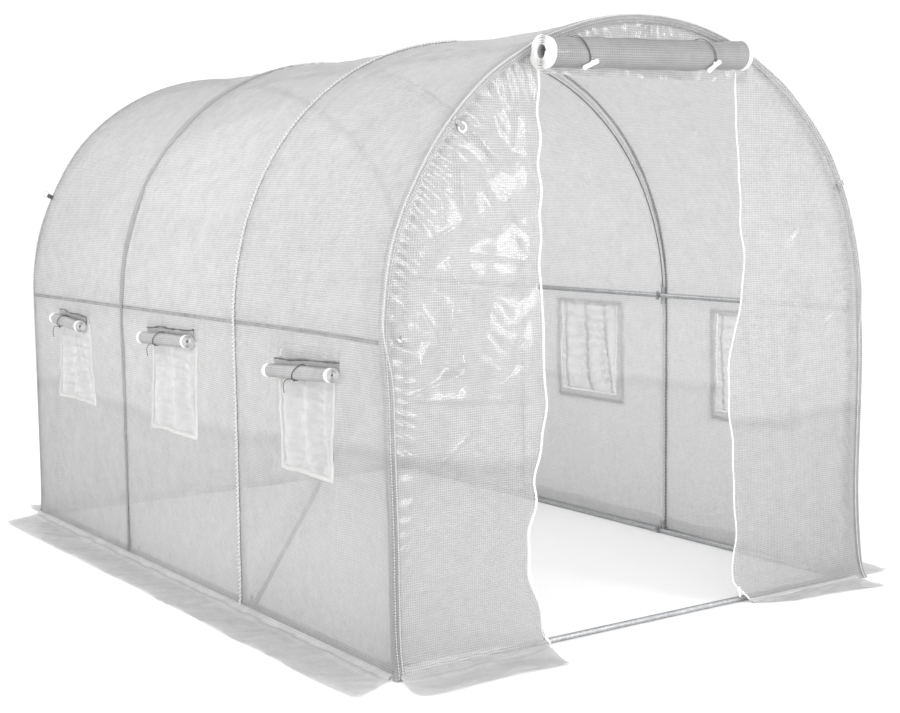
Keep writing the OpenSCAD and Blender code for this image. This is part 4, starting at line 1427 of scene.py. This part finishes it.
def ring_shape(centre, outer, inner, thick):
    """A moulded ring in the x-z plane: a super-ellipse profile carried round a circle."""
    a = np.linspace(0, 2 * np.pi, 49)
    radial = np.stack([np.cos(a), 0 * a, np.sin(a)], -1)
    mean = (outer + inner) / 2
    profile = oblong(thick, outer - inner, 0.75, 14)
    return sweep(centre + mean * radial, radial, np.broadcast_to(Y, radial.shape), profile, caps=False)


class TUNNEL_OT_guy_rings(bpy.types.Operator):
    """Make the four guy rings and the webbing that holds them to the cover"""

    bl_idname = "tunnel.guy_rings"
    bl_label = "Guy rings"

    def execute(self, context):
        shapes, webs = [], []
        for spot in RINGS.values():
            shapes.append(ring_shape(spot, RING_OUT, RING_IN, RING_T))
            webs += self.webbing(spot)
        piece("guy_ring_mouldings", shapes, finish("ring"), ("guy_rings",))
        cloths = [finish("gable" if name == "guy_ring_front_left" else "web") for name in RINGS]
        piece("guy_ring_webbing", webs, cloths)
        return {"FINISHED"}

    def webbing(self, spot):
        """A loop of webbing from the hoop's hem through a ring: out one side, round the bar, back the
        other."""
        centre = np.array([0, spot[1], WALL_H])
        to_hoop = unit((spot - centre) * (1, 0, 1))
        reach = np.linalg.norm((spot - centre) * (1, 0, 1))
        bar = (RING_OUT + RING_IN) / 2
        if reach < HALF_W:
            start, way = HALF_W + 0.022 - reach, to_hoop
        else:
            start, way = reach - HALF_W + 0.004, -to_hoop
        t = np.linspace(0, 1, 14)
        a = np.linspace(np.pi / 2, -np.pi / 2, 9)
        gap = RING_T / 2 + 0.0012
        near = spot + np.outer(start + (bar - start) * t, way) + gap * Y
        far = spot + np.outer(start + (bar - start) * t[::-1], way) - gap * Y
        turn = spot + np.outer(bar - 0.0045 * np.cos(a), way) + np.outer(gap * np.sin(a), Y)
        path = np.vstack([near, turn[1:-1], far])
        sides = np.broadcast_to(np.cross(way, Y), path.shape)
        outs = unit(np.cross(sides, unit(np.gradient(path, axis=0))))
        return [sweep(path, outs, sides, oblong(0.018, 0.0018))]


# ---------------------------------------------------------------- steel frame


def bolt_shape():
    """A hexagon bolt head on a washer, standing along z: a hexagon that narrows at its top over a disc."""
    heights = np.array([0, 0.0012, 0.0012, 0.0045, 0.0052])
    sizes = np.array([0.0072, 0.0072, 0.0054, 0.0054, 0.0044])
    disc = circle(1.0, 12)
    a = np.arange(12) * np.pi / 6
    hexagon = disc * (np.cos(np.pi / 6) / np.cos(np.mod(a, np.pi / 3) - np.pi / 6))[:, None]
    profile = np.stack([disc, disc, hexagon, hexagon, hexagon]) * sizes[:, None, None]
    return straight(np.outer(heights, Z), X, Y, profile)


class TUNNEL_OT_steel(bpy.types.Operator):
    """Give the tube frame its galvanised finish and bolt its clamps and corner plates"""

    bl_idname = "tunnel.steel"
    bl_label = "Steel frame"

    def execute(self, context):
        clamps = ("corner_gussets", "rail_clamps", "purlin_clamps", "ridge_clamps")
        for name, thing in frame["nodes"].items():
            if thing.hide_render:
                continue
            kind = "clamp" if name in clamps else "tube"
            for socket in thing.material_slots:
                socket.material = finish(kind)
        spots, ways = [], []
        inner_x = high("rail_clamps")[0] - 0.003
        for y in HOOP_Y:
            for side in (-1, 1):
                for z in (middle("rail_clamps")[2], PURLIN_Z):
                    spots.append((side * inner_x, y, z))
                    ways.append(-side * X)
            spots.append((0.0, y, low("ridge_clamps")[2]))
            ways.append(-Z)
        plate = high("corner_gussets")
        for sx in (-1, 1):
            for sy in (-1, 1):
                for dx, dy in ((0.03, 0.012), (0.012, 0.03)):
                    spots.append((sx * (plate[0] - dx - 0.01), sy * (plate[1] - dy - 0.01), plate[2]))
                    ways.append(Z)
        spots, zs = np.array(spots), np.array(ways)
        xs = unit(np.cross(zs, Y))
        bolts = copies(bolt_shape(), spots, xs, np.cross(zs, xs), zs)
        piece("clamp_bolts", bolts, finish("clamp"), flat_shade=True)
        return {"FINISHED"}


# ---------------------------------------------------------------- stage


# Each lamp's place, width and share of its power setting.
LAMPS = {
    "lamp_key": ((-4.5, -5.5, 5.0), 4.0, 1.0),
    "lamp_right": ((6.0, -3.0, 3.5), 4.0, 0.5),
    "lamp_left": ((-7.0, -0.5, 1.6), 4.0, 1.9),
    "lamp_inside": ((0.0, 0.2, 1.70), 1.3, 0.09),
    "lamp_rear": ((-2.0, 6.5, 5.0), 4.0, 0.6),
    "lamp_glint": ((1.9, -6.3, 1.75), 2.0, 1.0),
}
CAMERA_SPOT = (-3.3655, -5.243, 1.4297)
CAMERA_TURN = (34.547, -6.018, -0.650)  # yaw from the y axis towards x, pitch and roll, in degrees
CAMERA_LENS = 61.19  # millimetres, on a sensor 36 mm wide


class TUNNEL_OT_stage(bpy.types.Operator):
    """Make the plain pale floor, the soft white light and the camera"""

    bl_idname = "tunnel.stage"
    bl_label = "Stage"

    def execute(self, context):
        studio = context.scene.tunnel_studio
        self.camera(context)
        size = 60.0
        t = np.linspace(-size, size, 25)
        xx, yy = np.meshgrid(t, t, indexing="ij")
        shape = grid(np.stack([xx, yy, 0 * xx - 0.0005], -1), np.stack([xx, yy], -1), facing=Z)
        mesh = bpy.data.meshes.new("floor")
        mesh.from_pydata(shape.points.tolist(), [], shape.faces[0].tolist())
        mesh.materials.append(floor_material("floor_paint", studio.floor_tone))
        floor = bpy.data.objects.new("floor", mesh)
        context.scene.collection.objects.link(floor)
        world = bpy.data.worlds.new("soft_white")
        world.use_nodes = True
        world.node_tree.nodes["Background"].inputs[0].default_value = (1, 1, 1, 1)
        world.node_tree.nodes["Background"].inputs[1].default_value = studio.sky_strength
        context.scene.world = world
        context.scene.view_settings.view_transform = "Standard"
        for name, (spot, width, share) in LAMPS.items():
            power = studio.glint_power if name == "lamp_glint" else studio.lamp_power
            data = bpy.data.lights.new(name, "AREA")
            data.shape, data.size, data.energy = "DISK", width, share * power
            lamp = bpy.data.objects.new(name, data)
            lamp.location = spot
            lamp.rotation_euler = (Vector((0, 0, 0.9)) - Vector(spot)).to_track_quat("-Z", "Y").to_euler()
            lamp.visible_camera = False
            context.scene.collection.objects.link(lamp)
        return {"FINISHED"}

    def camera(self, context):
        """The camera stands off the front left corner at head height and looks slightly down at the
        doorway."""
        data = bpy.data.cameras.new("camera")
        data.lens, data.sensor_width, data.sensor_fit = CAMERA_LENS, 36.0, "HORIZONTAL"
        data.clip_end = 200.0
        cam = bpy.data.objects.new("camera", data)
        yaw, pitch, roll = np.radians(CAMERA_TURN)
        forward = np.array([np.sin(yaw) * np.cos(pitch), np.cos(yaw) * np.cos(pitch), np.sin(pitch)])
        right = np.array([np.cos(yaw), -np.sin(yaw), 0.0])
        up = np.cross(right, forward)
        right, up = np.cos(roll) * right + np.sin(roll) * up, np.cos(roll) * up - np.sin(roll) * right
        place = Matrix.Identity(4)
        for column, axis in enumerate((right, up, -forward, CAMERA_SPOT)):
            for row in range(3):
                place[row][column] = axis[row]
        cam.matrix_world = place
        context.scene.collection.objects.link(cam)
        context.scene.camera = cam


class TUNNEL_PT_panel(bpy.types.Panel):
    """Lists the tunnel's settings and the operators that build it"""

    bl_label = "Polytunnel"
    bl_idname = "TUNNEL_PT_panel"
    bl_space_type = "VIEW_3D"
    bl_region_type = "UI"
    bl_category = "Tunnel"

    def draw(self, context):
        for group in (context.scene.tunnel_film, context.scene.tunnel_trim, context.scene.tunnel_studio):
            box = self.layout.box()
            for name in group.bl_rna.properties.keys():
                if name not in ("rna_type", "name"):
                    box.prop(group, name)
        for operator in OPERATORS:
            self.layout.operator(operator.bl_idname)


GROUPS = {"tunnel_film": TunnelFilm, "tunnel_trim": TunnelTrim, "tunnel_studio": TunnelStudio}
OPERATORS = (
    TUNNEL_OT_stage, TUNNEL_OT_cover, TUNNEL_OT_end_walls, TUNNEL_OT_hems, TUNNEL_OT_skirts,
    TUNNEL_OT_windows, TUNNEL_OT_doorway, TUNNEL_OT_guy_rings, TUNNEL_OT_steel,
)


def register():
    """Registers the settings, operators and panel."""
    for group, kind in GROUPS.items():
        bpy.utils.register_class(kind)
        setattr(bpy.types.Scene, group, bpy.props.PointerProperty(type=kind))
    for kind in (*OPERATORS, TUNNEL_PT_panel):
        bpy.utils.register_class(kind)


def unregister():
    """Takes the panel, operators and settings away again."""
    for kind in (TUNNEL_PT_panel, *reversed(OPERATORS)):
        bpy.utils.unregister_class(kind)
    for group, kind in reversed(GROUPS.items()):
        delattr(bpy.types.Scene, group)
        bpy.utils.unregister_class(kind)


def main():
    """Builds everything in order."""
    register()
    for operator in OPERATORS:
        module, name = operator.bl_idname.split(".")
        getattr(getattr(bpy.ops, module), name)()


if __name__ == "__main__":
    main()
